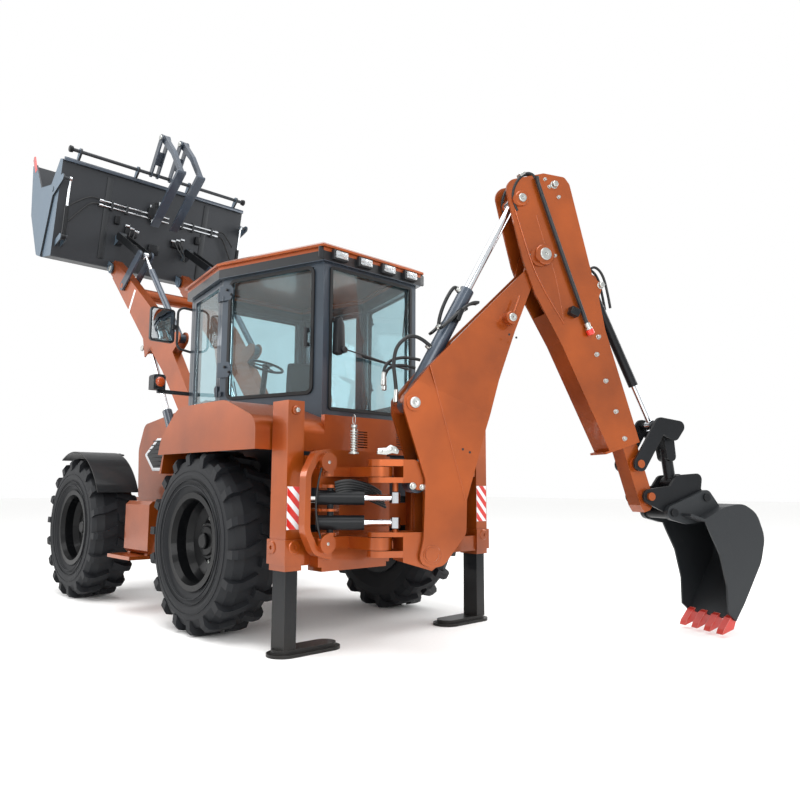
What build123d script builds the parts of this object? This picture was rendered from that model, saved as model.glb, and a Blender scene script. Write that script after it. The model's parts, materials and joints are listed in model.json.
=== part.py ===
"""Backhoe loader: equal wheels, a 4-in-1 loader bucket with flip-over forks in front, a side-shift
backhoe with a telescopic dipper behind, upright stabilisers and a glazed cab.

Millimetres. +X is the way the machine drives, +Y its left side, +Z up. While it is modelled, X = 0 is
the rear axle, Y = 0 the machine's middle and Z = 0 the ground. At the end every node is moved so that
the origin is the middle of the whole model's footprint, on the ground.

The backhoe is drawn in its own upright plane: "out" is the distance from the swing post's axis along
the boom, "side" the distance across it and "up" the height. slewed() turns it to where it stands.
"""
from build123d import *
from math import atan2, cos, degrees, hypot, radians, sin
import os

os.makedirs("parts", exist_ok=True)

# ---------------------------------------------------------------- driving dimensions
# wheels and axles
wheelbase = 2440
track = 1840
tyre_radius = 675
tyre_width = 420
tyre_bore = 330.3
rim_radius = 330
rim_flange_radius = 360
rim_width = 340
lug_height = 38
lug_count = 18
hub_radius = 130
kingpin_side = 690
wing_top = 1690
louvre_count = 7
louvre_low = 1372
louvre_pitch = 19
louvre_height = 9
louvre_inner = 150
louvre_outer = 262
bonnet_side = 345
bonnet_low = 965
grille_rows = 12
grille_pitch = 36
side_slots = 6
bonnet_pin = (1240, 1865)

# chassis
rail_low = 790
rail_high = 960
rail_side = 300
rail_front = 2900
rail_rear = -900

# cab
cab_floor = 1010
cab_top = 2820
header_top = 2884
roof_thickness = 66

# stabilisers
leg_x = -985
leg_side = 945
leg_tube_length = 180
leg_tube_width = 130
leg_tube_top = 1650
leg_tube_bottom = 540
leg_clearance = 6
leg_pad_height = 45

# loader
arm_low_side = 380
arm_high_side = 480
arm_foot = (1220, 1620)
bucket_pin = (3390, 3650)
lift_pin = (2330, 2530)
lift_base = (1300, 900)
lever_pin = (3020, 3360)
lever_top = (2600, 3630)
tilt_base = (1660, 2550)
link_eye = (3270, 4020)
clam_pin = (3460, 4450)
clam_rod_pin = (3160, 4500)
clam_base = (3290, 3860)
fork_rod = (3150, 4850)
fork_knuckle = (2890, 5215)
fork_bend = (2640, 4960)
fork_heel = (2430, 4650)
fork_tip = (3070, 4180)
fork_sides = (130, -110)
bucket_side = 1155
bucket_plate = 15

# backhoe
slew_x = -1420
slew_y = 510
slew_turn = 245
boom_foot = (312, 648)
dipper_base_pin = (190, 1637)
lift_eye = (928, 2277)
king_ram_pin = (240, 1105)
swing_eye_out = 110
trunnion = (-1190, 740)
dipper_pin = (1166, 2749)
tail_pin = (1007, 3163)
bucket_ram_base = (1644, 2635)
lever_foot = (1972, 1260)
lever_rod_pin = (2167, 1556)
lever_link_pin = (2277, 1493)
hitch_pin = (2052, 1021)
hitch_link_pin = (2327, 1123)
bucket_pin_front = (2217, 904)
bucket_pin_rear = (2517, 1016)
dipper_lean = 18
king_side = 105
boom_side = 142
boom_plate = 24
boom_end_side = 74
dipper_side = 98
dipper_plate = 18
inner_side = 72
digger_side = 250

pin_radius = 30
gap = 0.3
clamp_radius = 62
clamp_depth = 32


# ---------------------------------------------------------------- ways of making shapes
def outline_plate(points, y_low, y_high, radii=0):
    """A plate between two y values; its outline is (x, z) corners, rounded by one radius or by a list."""
    line = FilletPolyline(*points, radius=radii, close=True) if radii else Polyline(*points, close=True)
    return Pos(0, y_high, 0) * extrude(Plane.XZ * make_face(line), y_high - y_low)


def upright_plate(points, x_low, x_high, radii):
    """A plate between two x values whose outline is (y, z) corners with rounding radii."""
    line = FilletPolyline(*points, radius=radii, close=True)
    return Pos(x_low, 0, 0) * extrude(Plane.YZ * make_face(line), x_high - x_low)


def hull_plate(circles, y_low, y_high):
    """A plate wrapped tightly round circles given as (x, z, radius)."""
    edges = [edge for x, z, r in circles for edge in (Pos(x, z) * Circle(r)).edges()]
    return Pos(0, y_high, 0) * extrude(Plane.XZ * make_hull(edges), y_high - y_low)


def block(x0, x1, y0, y1, z0, z1):
    """A box between three pairs of limits."""
    return Pos((x0 + x1) / 2, (y0 + y1) / 2, (z0 + z1) / 2) * Box(x1 - x0, y1 - y0, z1 - z0)


def cross_pin(point, y_low, y_high, radius):
    """A cylinder along Y at an (x, z) point."""
    x, z = point
    return Pos(x, (y_low + y_high) / 2, z) * Rot(90, 0, 0) * Cylinder(radius, y_high - y_low)


def bar(start, end, radius, y=0, near=0, far=0):
    """A round bar from one (x, z) point to another, cut back by near and far at its two ends."""
    (x0, z0), (x1, z1) = start, end
    length = hypot(x1 - x0, z1 - z0)
    way = Vector(x1 - x0, 0, z1 - z0).normalized()
    origin = Vector(x0, y, z0) + way * near
    return Plane(origin=origin, z_dir=way) * Cylinder(
        radius, length - near - far, align=(Align.CENTER, Align.CENTER, Align.MIN)
    )


def along(start, end, share):
    """The point that lies the given share of the way from start to end."""
    return (start[0] + (end[0] - start[0]) * share, start[1] + (end[1] - start[1]) * share)


def both_sides(shape):
    """The shape and its mirror image on the other side of the machine."""
    return [shape, mirror(shape, about=Plane.XZ)]


def slewed(shape):
    """Turns a backhoe piece from its own plane to where the backhoe stands."""
    return Location((slew_x, slew_y, 0), (0, 0, slew_turn)) * shape


def dipper_point(s, n):
    """A point in the backhoe's plane, from the distance down the dipper's axis and across it."""
    lean = radians(dipper_lean)
    return (
        dipper_pin[0] + s * sin(lean) + n * cos(lean),
        dipper_pin[1] - s * cos(lean) + n * sin(lean),
    )


nodes = {}


def add(name, *solids):
    """Keeps a node's solids until the model is written out."""
    nodes[name] = [solid for item in solids for solid in (item if isinstance(item, list) else [item])]


def ram(barrel_end, rod_end, barrel_share, retract, radii, y, halves, eyes, pins):
    """A hydraulic cylinder's barrel and rod, each with an eye; pairs are for the barrel, then the rod.

    retract is how much shorter the cylinder gets from where it stands, so the rod starts clear of the
    barrel's foot by that much and the barrel ends short of the rod's eye by as much.
    """
    length = hypot(rod_end[0] - barrel_end[0], rod_end[1] - barrel_end[1])
    barrel_length = min(length * barrel_share, length - retract - eyes[1] - 8)
    rod_start = min(eyes[0] + 70 + retract, barrel_length - 30)
    barrel = bar(barrel_end, rod_end, radii[0], y, eyes[0] * 0.6, length - barrel_length)
    barrel += cross_pin(barrel_end, y - halves[0], y + halves[0], eyes[0])
    barrel -= bar(barrel_end, rod_end, radii[1] + 0.05, y, eyes[0] + 25, length - barrel_length - 10)
    barrel -= cross_pin(barrel_end, y - halves[0] - 1, y + halves[0] + 1, pins[0] + 0.05)
    rod = bar(barrel_end, rod_end, radii[1], y, rod_start, eyes[1] * 0.6)
    rod += cross_pin(rod_end, y - halves[1], y + halves[1], eyes[1])
    rod -= cross_pin(rod_end, y - halves[1] - 1, y + halves[1] + 1, pins[1] + 0.05)
    return barrel, rod


# ---------------------------------------------------------------- wheels
def ring(half_section):
    """A ring round the wheel's axis; one side of its section lists (radius, distance from the middle)."""
    outline = half_section + [(r, -y) for r, y in reversed(half_section)]
    return revolve(Plane.XY * make_face(Polyline(*outline, close=True)), Axis.Y)


tyre_half = tyre_width / 2
bead = rim_width / 2 - gap
crown_radius = tyre_radius - lug_height
carcass = ring([
    (tyre_bore, bead), (365, bead), (405, bead + 14), (490, tyre_half), (560, tyre_half - 6),
    (crown_radius - 26, tyre_half - 34), (crown_radius, tyre_half - 100),
])
lug_ring = ring([
    (555, tyre_half), (tyre_radius - 42, tyre_half), (tyre_radius - 8, tyre_half - 26),
    (tyre_radius, tyre_half - 70),
])
# one lug, as (distance from the tyre's middle, distance round the tread)
lug_outline = [(6, -38), (110, 12), (tyre_half + 2, 26), (tyre_half + 2, 84), (120, 78), (6, 34)]
lug = Pos(560, 0, 0) * extrude(Plane.YZ * make_face(Polyline(*lug_outline, close=True)), 140)
lug = lug & lug_ring
lug_pitch = 360 / lug_count
lugs = []
for index in range(lug_count):
    lugs.append(Rot(0, index * lug_pitch, 0) * lug)
    lugs.append(Rot(0, (index + 0.5) * lug_pitch, 0) * mirror(lug, about=Plane.XZ))
tyre = carcass + lugs

rim_edge = rim_width / 2 + 16
rim = revolve(Plane.XY * make_face(Polyline(
    (300, -rim_edge), (rim_flange_radius, -rim_edge), (rim_flange_radius, -rim_edge + 15),
    (rim_radius, -rim_edge + 16), (rim_radius, rim_edge - 16), (rim_flange_radius, rim_edge - 15),
    (rim_flange_radius, rim_edge), (318, rim_edge), (300, rim_edge - 40), (300, 70), (270, 20), (200, -10),
    (hub_radius + 30, -10), (hub_radius, 50), (0, 50), (0, -20), (hub_radius, -20), (200, -34), (285, -6),
    (300, -30), close=True,
)), Axis.Y)
rims = {"left": rim, "right": mirror(rim, about=Plane.XZ)}

for end, x in (("rear", 0), ("front", wheelbase)):
    for side_name, side in (("left", 1), ("right", -1)):
        hub = Pos(x, side * track / 2, tyre_radius)
        add(f"tyre_{end}_{side_name}", hub * tyre)
        add(f"rim_{end}_{side_name}", hub * rims[side_name])

# ---------------------------------------------------------------- axles and knuckles
disc_inner = track / 2 - 20 - gap  # the wheel disc's inner face, less a gap
yoke_half = 110
front_axle = block(wheelbase - 90, wheelbase + 90, -560, 560, 590, 760)
front_axle += Pos(wheelbase, 0, tyre_radius - 30) * Sphere(140)
front_axle += block(wheelbase - 130, wheelbase + 130, -150, 150, 740, rail_low - gap)
for side in (1, -1):
    y0, y1 = sorted((side * 520, side * (kingpin_side + 60)))
    web0, web1 = sorted((side * 520, side * 590))
    for z0, z1 in ((tyre_radius - yoke_half - 30, tyre_radius - yoke_half),
                   (tyre_radius + yoke_half, tyre_radius + yoke_half + 30)):
        front_axle += block(wheelbase - 60, wheelbase + 60, y0, y1, z0, z1)
    front_axle += block(wheelbase - 60, wheelbase + 60, web0, web1,
                        tyre_radius - yoke_half - 30, tyre_radius + yoke_half + 30)
    front_axle -= Pos(wheelbase, side * kingpin_side, tyre_radius) * Cylinder(30.05, 400)
rear_axle = Pos(0, 0, tyre_radius) * Rot(90, 0, 0) * Cylinder(95, 2 * disc_inner)
rear_axle += Pos(0, 0, tyre_radius) * Sphere(210)
rear_axle += block(-110, 110, -rail_side, -rail_side + 120, 600, rail_low - gap)
rear_axle += block(-110, 110, rail_side - 120, rail_side, 600, rail_low - gap)
for side in (1, -1):
    rear_axle += Pos(0, side * 700, tyre_radius) * Rot(90, 0, 0) * Cylinder(165, 200)
add("axles", front_axle, rear_axle)

fender_inner = 735
fender_outer = 1125
fender_radius = 735
fender_thickness = 8
fender_from = 64
fender_to = 152


def arc_sheet(radius, thickness, start, end, y_low, y_high, centre):
    """A curved sheet round a Y axis through an (x, z) centre, between two angles from +X."""
    def at(r, angle):
        return (centre[0] + r * cos(radians(angle)), centre[1] + r * sin(radians(angle)))
    middle = (start + end) / 2
    outline = [
        ThreePointArc(at(radius, start), at(radius, middle), at(radius, end)),
        Line(at(radius, end), at(radius + thickness, end)),
        ThreePointArc(at(radius + thickness, end), at(radius + thickness, middle),
                      at(radius + thickness, start)),
        Line(at(radius + thickness, start), at(radius, start)),
    ]
    return Pos(0, y_high, 0) * extrude(Plane.XZ * make_face(outline), y_high - y_low)


hub_axis = (wheelbase, tyre_radius)
knuckle = Pos(wheelbase, kingpin_side, tyre_radius) * Cylinder(72, 2 * yoke_half - 1)
knuckle += Pos(wheelbase, kingpin_side, tyre_radius + 3) * Cylinder(30, 2 * yoke_half + 66)
knuckle += Pos(wheelbase, (kingpin_side + disc_inner) / 2, tyre_radius) * Rot(90, 0, 0) * Cylinder(
    95, disc_inner - kingpin_side)
post_low = tyre_radius + yoke_half + 30
knuckle += block(wheelbase - 45, wheelbase + 45, 650, 705, post_low + 1, post_low + 25)
knuckle += block(wheelbase - 40, wheelbase + 40, 672, 690, post_low + 20, tyre_radius + fender_radius + 4)
knuckle += arc_sheet(fender_radius - 14, 14.5, 80, 100, 672, 1000, hub_axis)
knuckle += arc_sheet(fender_radius, fender_thickness, fender_from, fender_to,
                     fender_inner, fender_outer, hub_axis)
add("knuckle_left", knuckle)
add("knuckle_right", mirror(knuckle, about=Plane.XZ))

# ---------------------------------------------------------------- chassis
rail = block(rail_rear, rail_front, rail_side - 60, rail_side, rail_low, rail_high)
frame = rail + mirror(rail, about=Plane.XZ)
for x, length in ((rail_rear, 60), (300, 60), (1500, 60), (wheelbase - 130, 260), (rail_front - 60, 60)):
    frame += block(x, x + length, -rail_side, rail_side, rail_low, rail_high)
for x in (-560, 840):
    cab_mount = block(x, x + 120, rail_side - 60, rail_side, rail_high - 5, cab_floor - gap)
    frame += cab_mount + mirror(cab_mount, about=Plane.XZ)
tower = outline_plate(
    [(1130, rail_high - 100), (1420, rail_high - 100), (1320, 1560), (1320, 1700), (1130, 1700)],
    rail_side + 50, rail_side + 72)
tower += block(1130, 1420, rail_side - 10, rail_side + 60, rail_low, rail_high)
tower += cross_pin(arm_foot, rail_side + 60, arm_low_side - gap, 60)
tower += cross_pin(arm_foot, rail_side + 60, arm_high_side + 12, pin_radius)
tower += cross_pin(lift_base, rail_side - 10, 380 - gap, 60)
tower += cross_pin(lift_base, rail_side - 10, 485, pin_radius)
frame += tower + mirror(tower, about=Plane.XZ)
rear_top = (1170, 1290)
rear_bottom = (570, 690)
rear_x = (-1070, -930)
rail_end = leg_side - leg_tube_width / 2 - 12
for low, high in (rear_top, rear_bottom):
    frame += block(rear_x[0], rear_x[1], -rail_end, rail_end, low, high)
for side in (1, -1):
    y0, y1 = sorted((side * 560, side * 640))
    frame += block(rear_x[0] + 20, rear_x[1], y0, y1, rear_bottom[0], rear_top[1])
    y0, y1 = sorted((side * (rail_side - 60), side * rail_side))
    frame += block(rear_x[0] + 40, rail_rear + 10, y0, y1, rear_bottom[0], rear_top[1])
for side in (1, -1):
    y0, y1 = sorted((side * rail_side, side * bonnet_side))
    frame += block(1450, rail_front - 20, y0, y1, rail_high - 40, bonnet_low - gap)
scuttle = block(1140, 1225, -rail_side, rail_side, rail_high - 10, 1880)
scuttle -= block(1200, 1400, -242, -198, 1820, 1910) + block(1200, 1400, 198, 242, 1820, 1910)
scuttle += cross_pin(bonnet_pin, -rail_side, rail_side, 20)
frame += scuttle
add("frame", frame)

engine = block(1480, 2350, -215, 215, rail_high + gap, 1500)
add("engine", engine)

# ---------------------------------------------------------------- stabilisers
def leg_parts(side):
    y = side * leg_side
    half_x = leg_tube_length / 2
    half_y = leg_tube_width / 2
    wall = 12
    tube = block(leg_x - half_x, leg_x + half_x, y - half_y, y + half_y, leg_tube_bottom, leg_tube_top)
    tube += block(leg_x - half_x - 14, leg_x + half_x + 14, y - half_y - 12, y + half_y + 12,
                  leg_tube_bottom + 40, leg_tube_bottom + 200)
    inner_x = half_x - wall
    inner_y = half_y - wall
    tube -= block(leg_x - inner_x, leg_x + inner_x, y - inner_y, y + inner_y,
                  leg_tube_bottom - 1, leg_tube_top - wall)
    x_half = inner_x - leg_clearance
    y_half = inner_y - leg_clearance
    guide = block(leg_x - inner_x - 1, leg_x + inner_x + 1, y - inner_y - 1, y + inner_y + 1,
                  leg_tube_bottom, leg_tube_bottom + 60)
    guide -= block(leg_x - x_half - gap, leg_x + x_half + gap, y - y_half - gap, y + y_half + gap,
                   leg_tube_bottom - 1, leg_tube_bottom + 61)
    tube += guide
    leg = block(leg_x - x_half, leg_x + x_half, y - y_half, y + y_half, leg_pad_height - 5,
                leg_tube_top - wall - 480)
    pad_inner = y - side * 330
    edges = [edge for cy in (y, pad_inner) for edge in (Pos(leg_x, cy) * Circle(110)).edges()]
    pad = extrude(make_hull(edges), leg_pad_height - 25)
    pad += Pos(0, 0, leg_pad_height - 25) * extrude(
        make_hull([edge for cy in (y, pad_inner) for edge in (Pos(leg_x, cy) * Circle(80)).edges()]), 25)
    return tube, leg + pad


left_tube, left_leg = leg_parts(1)
right_tube, right_leg = leg_parts(-1)
add("stabiliser_tubes", left_tube, right_tube)
add("stabiliser_leg_left", left_leg)
add("stabiliser_leg_right", right_leg)

# ---------------------------------------------------------------- cab
cab_plan = [(1045, 635), (225, 785), (-750, 490)]
tub_plan = [(1045, 635), (722, 694), (695, 645), (-700, 470)]
header_plan = [(1080, 668), (230, 826), (-782, 518)]
shelf = 1440


def plan_solid(points, z_low, z_high):
    """An upright solid on a plan that is the same on both sides of the machine."""
    outline = points + [(x, -y) for x, y in reversed(points)]
    return Pos(0, 0, z_low) * extrude(make_face(Polyline(*outline, close=True)), z_high - z_low)


def shrunk(points, amount):
    """The plan moved inwards by an amount; a negative one moves it outwards."""
    front, rear = points[0][0], points[-1][0]
    moved = []
    for x, y in points:
        x_new = x - amount if x == front else (x + amount if x == rear else x)
        moved.append((x_new, y - amount))
    return moved


wall = 50
cab_shell = plan_solid(cab_plan, shelf, cab_top) + plan_solid(tub_plan, cab_floor, shelf + 40)
cab_shell += plan_solid(header_plan, cab_top - 40, header_top)
cab_shell -= plan_solid(shrunk(cab_plan, wall), shelf + 40, header_top + 1)
cab_shell -= plan_solid(shrunk(tub_plan, wall), cab_floor + 40, shelf + 50)
window_low = 1780
window_high = cab_top - 70
front_low = 1480
rear_low = 1660
cab_shell -= block(900, 1200, -545, 545, front_low, window_high)
cab_shell -= block(-900, -600, -425, 425, rear_low, window_high)


def wall_frame(start, end):
    """Where the wall between two corners of the plan starts, the way it runs and its length."""
    (x0, y0), (x1, y1) = start, end
    return Location((x0, y0, 0), (0, 0, degrees(atan2(y1 - y0, x1 - x0)))), hypot(x1 - x0, y1 - y0)


quarter_place, quarter_length = wall_frame(cab_plan[1], cab_plan[2])
door_place, door_wall = wall_frame(cab_plan[1], cab_plan[0])
quarter_span = (85, quarter_length - 90)
pane_hinge_heights = (2020, 2660)
quarter = quarter_place * block(*quarter_span, -150, 150, window_low, window_high)
quarter_pane = quarter_place * block(quarter_span[0] + gap, quarter_span[1] - gap, -150, 150,
                                     window_low + gap, window_high - gap)
cab_shell -= quarter
cab_shell -= mirror(quarter, about=Plane.XZ)

# the door lies along the front wall of each side; its outline is (distance from the rear post, z)
door_low = 1080
door_top = window_high + 25
door_outline = [
    (45, wing_top + 25), (370, wing_top + 25), (475, 1480), (520, 1200), (520, door_low), (760, door_low),
    (760, door_top), (45, door_top),
]
door_glass_outline = [
    (100, wing_top + 95), (430, wing_top + 95), (520, 1560), (580, 1300), (710, 1300),
    (710, door_top - 45), (100, door_top - 45),
]
door_thickness = 40
door_slot = 6


def on_door_wall(points, inner, outer, margin=0):
    """A plate in the door's wall from inner to outer, measured outwards from the wall's face."""
    face = make_face(Polyline(*points, close=True))
    if margin:
        face = offset(face, margin, kind=Kind.INTERSECTION)
    return door_place * (Pos(0, outer, 0) * extrude(Plane.XZ * face, outer - inner))


door_hole = on_door_wall(door_outline, -200, 100, door_slot)
cab_shell -= door_hole
cab_shell -= mirror(door_hole, about=Plane.XZ)
hinge_out = 40
hinge_off = 15
hinge_heights = (1850, 2640)
door_knuckles = []
for z in hinge_heights:
    bracket = block(-30, hinge_out, -1, 8, z - 45, z - 5)
    bracket += Pos(hinge_out, hinge_off, z - 25) * Cylinder(14, 40)
    bracket += Pos(hinge_out, hinge_off, z + 5) * Cylinder(8, 80)
    fixed = door_place * bracket
    cab_shell += fixed + mirror(fixed, about=Plane.XZ)
    knuckle = block(hinge_out, hinge_out + 80, -1, 8, z - 4, z + 40)
    knuckle += Pos(hinge_out, hinge_off, z + 18) * Cylinder(14, 44)
    knuckle -= Pos(hinge_out, hinge_off, z + 18) * Cylinder(8.05, 60)
    door_knuckles.append(door_place * knuckle)
for z in pane_hinge_heights:
    hinge_plate = extrude(make_face(Polyline(
        (-20, z - 62), (95, z - 62), (125, z - 25),
        (125, z + 25), (95, z + 62), (-20, z + 62), close=True)), 14)
    hinge_plate = quarter_place * (Pos(0, -1, 0) * Rot(90, 0, 0) * hinge_plate)
    cab_shell += hinge_plate + mirror(hinge_plate, about=Plane.XZ)
add("cab_shell", cab_shell)

glass_skin = plan_solid(shrunk(cab_plan, 22), shelf, cab_top)
glass_skin -= plan_solid(shrunk(cab_plan, 28), shelf - 1, cab_top + 1)
front_glass = glass_skin & block(960, 1100, -545 + gap, 545 - gap, front_low + gap, window_high - gap)
rear_glass = glass_skin & block(-900, -600, -425 + gap, 425 - gap, rear_low + gap, window_high - gap)
side_glass = glass_skin & quarter_pane
add("cab_glass", front_glass, rear_glass, both_sides(side_glass))

roof_plan = [(1100, 690), (230, 850), (-800, 535)]
roof = plan_solid(roof_plan, header_top + gap, header_top + roof_thickness)
roof = chamfer(roof.faces().sort_by(Axis.Z)[-1].edges(), roof_thickness - 18, 90)
roof -= plan_solid(shrunk(cab_plan, wall + 12), header_top - 1, header_top + 18)
lifting_eye = Pos(0, 0, header_top + roof_thickness + 26) * Rot(90, 0, 0) * Torus(22, 6)
roof += lifting_eye
add("cab_roof", roof)

leaf = on_door_wall(door_outline, -door_thickness, 0)
leaf -= on_door_wall(door_glass_outline, -door_thickness - 5, 5)
for knuckle in door_knuckles:
    leaf += knuckle
pane = on_door_wall(door_glass_outline, -26, -20, -gap)
for side_name, leaf_piece, pane_piece in zip(("left", "right"), both_sides(leaf), both_sides(pane)):
    add(f"door_{side_name}", leaf_piece)
    add(f"door_glass_{side_name}", pane_piece)

seat = block(80, 520, -240, 240, 1480, 1600) + block(20, 130, -230, 230, 1560, 2150)
seat += block(180, 420, -120, 120, cab_floor + 40 + gap, 1490)
console = block(760, 900, -90, 90, cab_floor + 40 + gap, 1900)
wheel_plane = Plane(origin=(760, 0, 2210), z_dir=(-0.45, 0, 0.9))
console += bar((830, 1880), (768, 2205), 28)
console += wheel_plane * Torus(165, 13)
console += wheel_plane * Box(330, 26, 16) + wheel_plane * Box(26, 330, 16)
add("driver_station", seat, console)

# rear wings and the panel that joins them under the rear window
wing_outer = 1135
wing_sheet = 12
arch = [(600, 1180), (500, 1470), (230, wing_top), (-480, wing_top), (-880, 1540), (-880, 1330)]
arch_radii = (0, 160, 240, 320, 120, 0)
under = [(588, 1100), (489, 1466), (224, wing_top - 12), (-478, wing_top - 12), (-868, 1532), (-868, 1300)]
under_radii = (0, 148, 228, 308, 108, 0)
wing = outline_plate(arch, 400, wing_outer, arch_radii)
wing -= outline_plate(under, 300, wing_outer - wing_sheet, under_radii)
wing -= block(-1200, 1200, wing_outer - 40, wing_outer + 10, 1000, 1330)
wing -= plan_solid(shrunk(cab_plan, -gap), 1000, 2000)
panel_side = 560
rear_panel = block(-880, -840, -panel_side, panel_side, 1330, 1600)
for side in (1, -1):
    for index in range(louvre_count):
        z = louvre_low + index * louvre_pitch
        y0, y1 = sorted((side * louvre_inner, side * louvre_outer))
        rear_panel -= block(-890, -830, y0, y1, z, z + louvre_height)
rear_wings = wing + rear_panel + mirror(wing, about=Plane.XZ)
add("rear_wings", rear_wings)

# ---------------------------------------------------------------- bonnet and side tanks
bonnet_front = 2720
bonnet_wall = 12
bonnet_outline = [
    (1250, bonnet_low), (bonnet_front - 40, bonnet_low), (bonnet_front, 1480), (bonnet_front - 130, 1745),
    (1250, 1900),
]
inner_bonnet = [
    (1240, 900), (bonnet_front - 52, 900), (bonnet_front - 12, 1476), (bonnet_front - 138, 1732),
    (1240, 1889),
]
bonnet = outline_plate(bonnet_outline, -bonnet_side, bonnet_side, (0, 30, 180, 110, 0))
bonnet_inner_side = bonnet_side - bonnet_wall
bonnet -= outline_plate(inner_bonnet, -bonnet_inner_side, bonnet_inner_side, (0, 0, 168, 98, 0))
for index in range(grille_rows):
    z = 1060 + index * grille_pitch
    bonnet -= block(bonnet_front - 300, bonnet_front + 10, -230, 230, z, z + grille_pitch - 14)
for index in range(side_slots):
    x = 2140 + index * 34
    bonnet -= outline_plate([(x, 1330), (x + 18, 1330), (x + 38, 1505), (x + 20, 1505)], -400, 400)
for y in (-220, 220):
    hinge_arm = hull_plate([(*bonnet_pin, 32), (1310, 1880, 14)], y - 15, y + 15)
    bonnet += hinge_arm - cross_pin(bonnet_pin, y - 20, y + 20, 20.05)
add("bonnet", bonnet)
tank_low = 500
tank_outer = 980
tanks = block(1000, 1480, 640, tank_outer, tank_low, 950)
tanks = chamfer(tanks.edges().filter_by(Axis.X).sort_by(Axis.Y)[-2:], 30)
tanks += block(1010, 1110, rail_side + gap, 660, rail_low, 900)
step_plate = block(1010, 1470, 700, tank_outer + 150, tank_low - 38, tank_low - 8)
step_plate += block(1040, 1090, 720, tank_outer - 20, tank_low - 10, tank_low + 5)
step_plate += block(1390, 1440, 720, tank_outer - 20, tank_low - 10, tank_low + 5)
add("side_tanks", both_sides(tanks + step_plate))

# ---------------------------------------------------------------- lamps and mirrors
lamp_sides = (-375, -125, 125, 375)
lamp_depth = 38
lamps = []
for face, outwards in ((header_plan[-1][0], -1), (header_plan[0][0], 1)):
    for y in lamp_sides:
        x0, x1 = sorted((face + outwards * gap, face + outwards * lamp_depth))
        lamp = block(x0, x1, y - 70, y + 70, header_top - 84, header_top - 10)
        front_edges = lamp.faces().sort_by(Axis.X)[0 if outwards < 0 else -1].edges()
        lamps.append(chamfer(front_edges, 10))
add("work_lamps", lamps)
front_face = cab_plan[0][0]
mirror_loop = FilletPolyline(
    (front_face + 12, 600, 2700), (front_face + 40, 752, 2715), (front_face + 40, 752, 2330),
    (front_face + 12, 600, 2300), radius=60)
mirror_tube = sweep(Plane(origin=mirror_loop @ 0, z_dir=mirror_loop % 0) * Circle(11), path=mirror_loop)
for z in (2700, 2300):
    mirror_tube += block(front_face + gap, front_face + 24, 570, 622, z - 30, z + 30)
mirror_tube += block(front_face + 30, front_face + 52, 745, 800, 2500, 2540)
mirror_head = block(front_face + 45, front_face + 75, 775, 1005, 2370, 2680)
mirror_head = fillet(mirror_head.edges().filter_by(Axis.X), 30)
lamp_bar = block(front_face + gap, front_face + 28, 560, 930, 1900, 1932)
lamp_bar += block(front_face - 40, front_face + 60, 880, 990, 1925, 2060)
lamp_bar = fillet(lamp_bar.edges().filter_by(Axis.X).group_by(Axis.Z)[-1], 24)
add("mirrors", both_sides(mirror_tube + mirror_head), both_sides(lamp_bar))

# ---------------------------------------------------------------- loader arms
arm_outline = [
    (1140, 1560), (1300, 1540), (1950, 2260), (2250, 2520), (2380, 2450), (2440, 2660), (3370, 3524),
    (3350, 3740), (3020, 3520), (2120, 2860), (1780, 2480), (1140, 1700),
]
arm = outline_plate(arm_outline, arm_low_side, arm_high_side)
arm += hull_plate([(*arm_foot, 105)], arm_low_side, arm_high_side)
arm += hull_plate([(*bucket_pin, 72), (3250, 3560, 90)], arm_low_side, arm_high_side)
arm -= hull_plate([(*lift_pin, 125), (2200, 2330, 130)], 394, 466)
arm += cross_pin(lift_pin, 393, 400 - gap, 55) + cross_pin(lift_pin, 460 + gap, 467, 55)
arm += hull_plate([(*tilt_base, 70), (1800, 2480, 90)], 380, 394)
arm += hull_plate([(*tilt_base, 70), (1800, 2480, 90)], 466, 480)
arm -= hull_plate([(*tilt_base, 90), (1760, 2640, 95)], 394, 466)
arm += cross_pin(tilt_base, 385, 475, pin_radius)
arm -= cross_pin(arm_foot, 300, 500, pin_radius + 0.05)
arm -= cross_pin(bucket_pin, 300, 500, pin_radius + 0.05)
arm += cross_pin(lever_pin, arm_low_side - 30, arm_high_side + 30, pin_radius)
arms = arm + mirror(arm, about=Plane.XZ)
arms += cross_pin((2860, 3250), -arm_low_side - 10, arm_low_side + 10, 72)
add("loader_arms", arms)


def loader_ram(base, eye, share, retract, radii, halves, eyes, pins):
    """The left and right rams of one loader motion."""
    middle = (arm_low_side + arm_high_side) / 2
    barrel, rod = ram(base, eye, share, retract, radii, middle, halves, eyes, pins)
    return both_sides(barrel), both_sides(rod)


lift_barrels, lift_rods = loader_ram(lift_base, lift_pin, 0.58, 765, (48, 28), (50, 30), (55, 50), (30, 26))
add("lift_barrels", lift_barrels)
add("lift_rods", lift_rods)
tilt_barrels, tilt_rods = loader_ram(
    tilt_base, lever_top, 0.80, 120, (33, 20), (35.7, 25), (45, 42), (30, 26))
add("tilt_barrels", tilt_barrels)
add("tilt_rods", tilt_rods)

lever = []
for low, high in ((352, 372), (488, 508)):
    plate = hull_plate([(*lever_pin, 55), (*lever_top, 50)], low, high)
    plate -= cross_pin(lever_pin, low - 1, high + 1, pin_radius + 0.05)
    lever.append(plate)
levers = lever[0] + lever[1] + cross_pin(lever_top, 372 - 5, 404.7, 26) + cross_pin(lever_top, 455.3, 493, 26)
add("tilt_levers", both_sides(levers))
link = []
for low, high in ((375, 390), (470, 485)):
    link.append(hull_plate([(*lever_top, 42), (*link_eye, 42)], low, high))
links = link[0] + link[1] + cross_pin(along(lever_top, link_eye, 0.5), 380, 480, 20)
links -= cross_pin(lever_top, 360, 500, 26.05)
add("tilt_links", both_sides(links))

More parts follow.
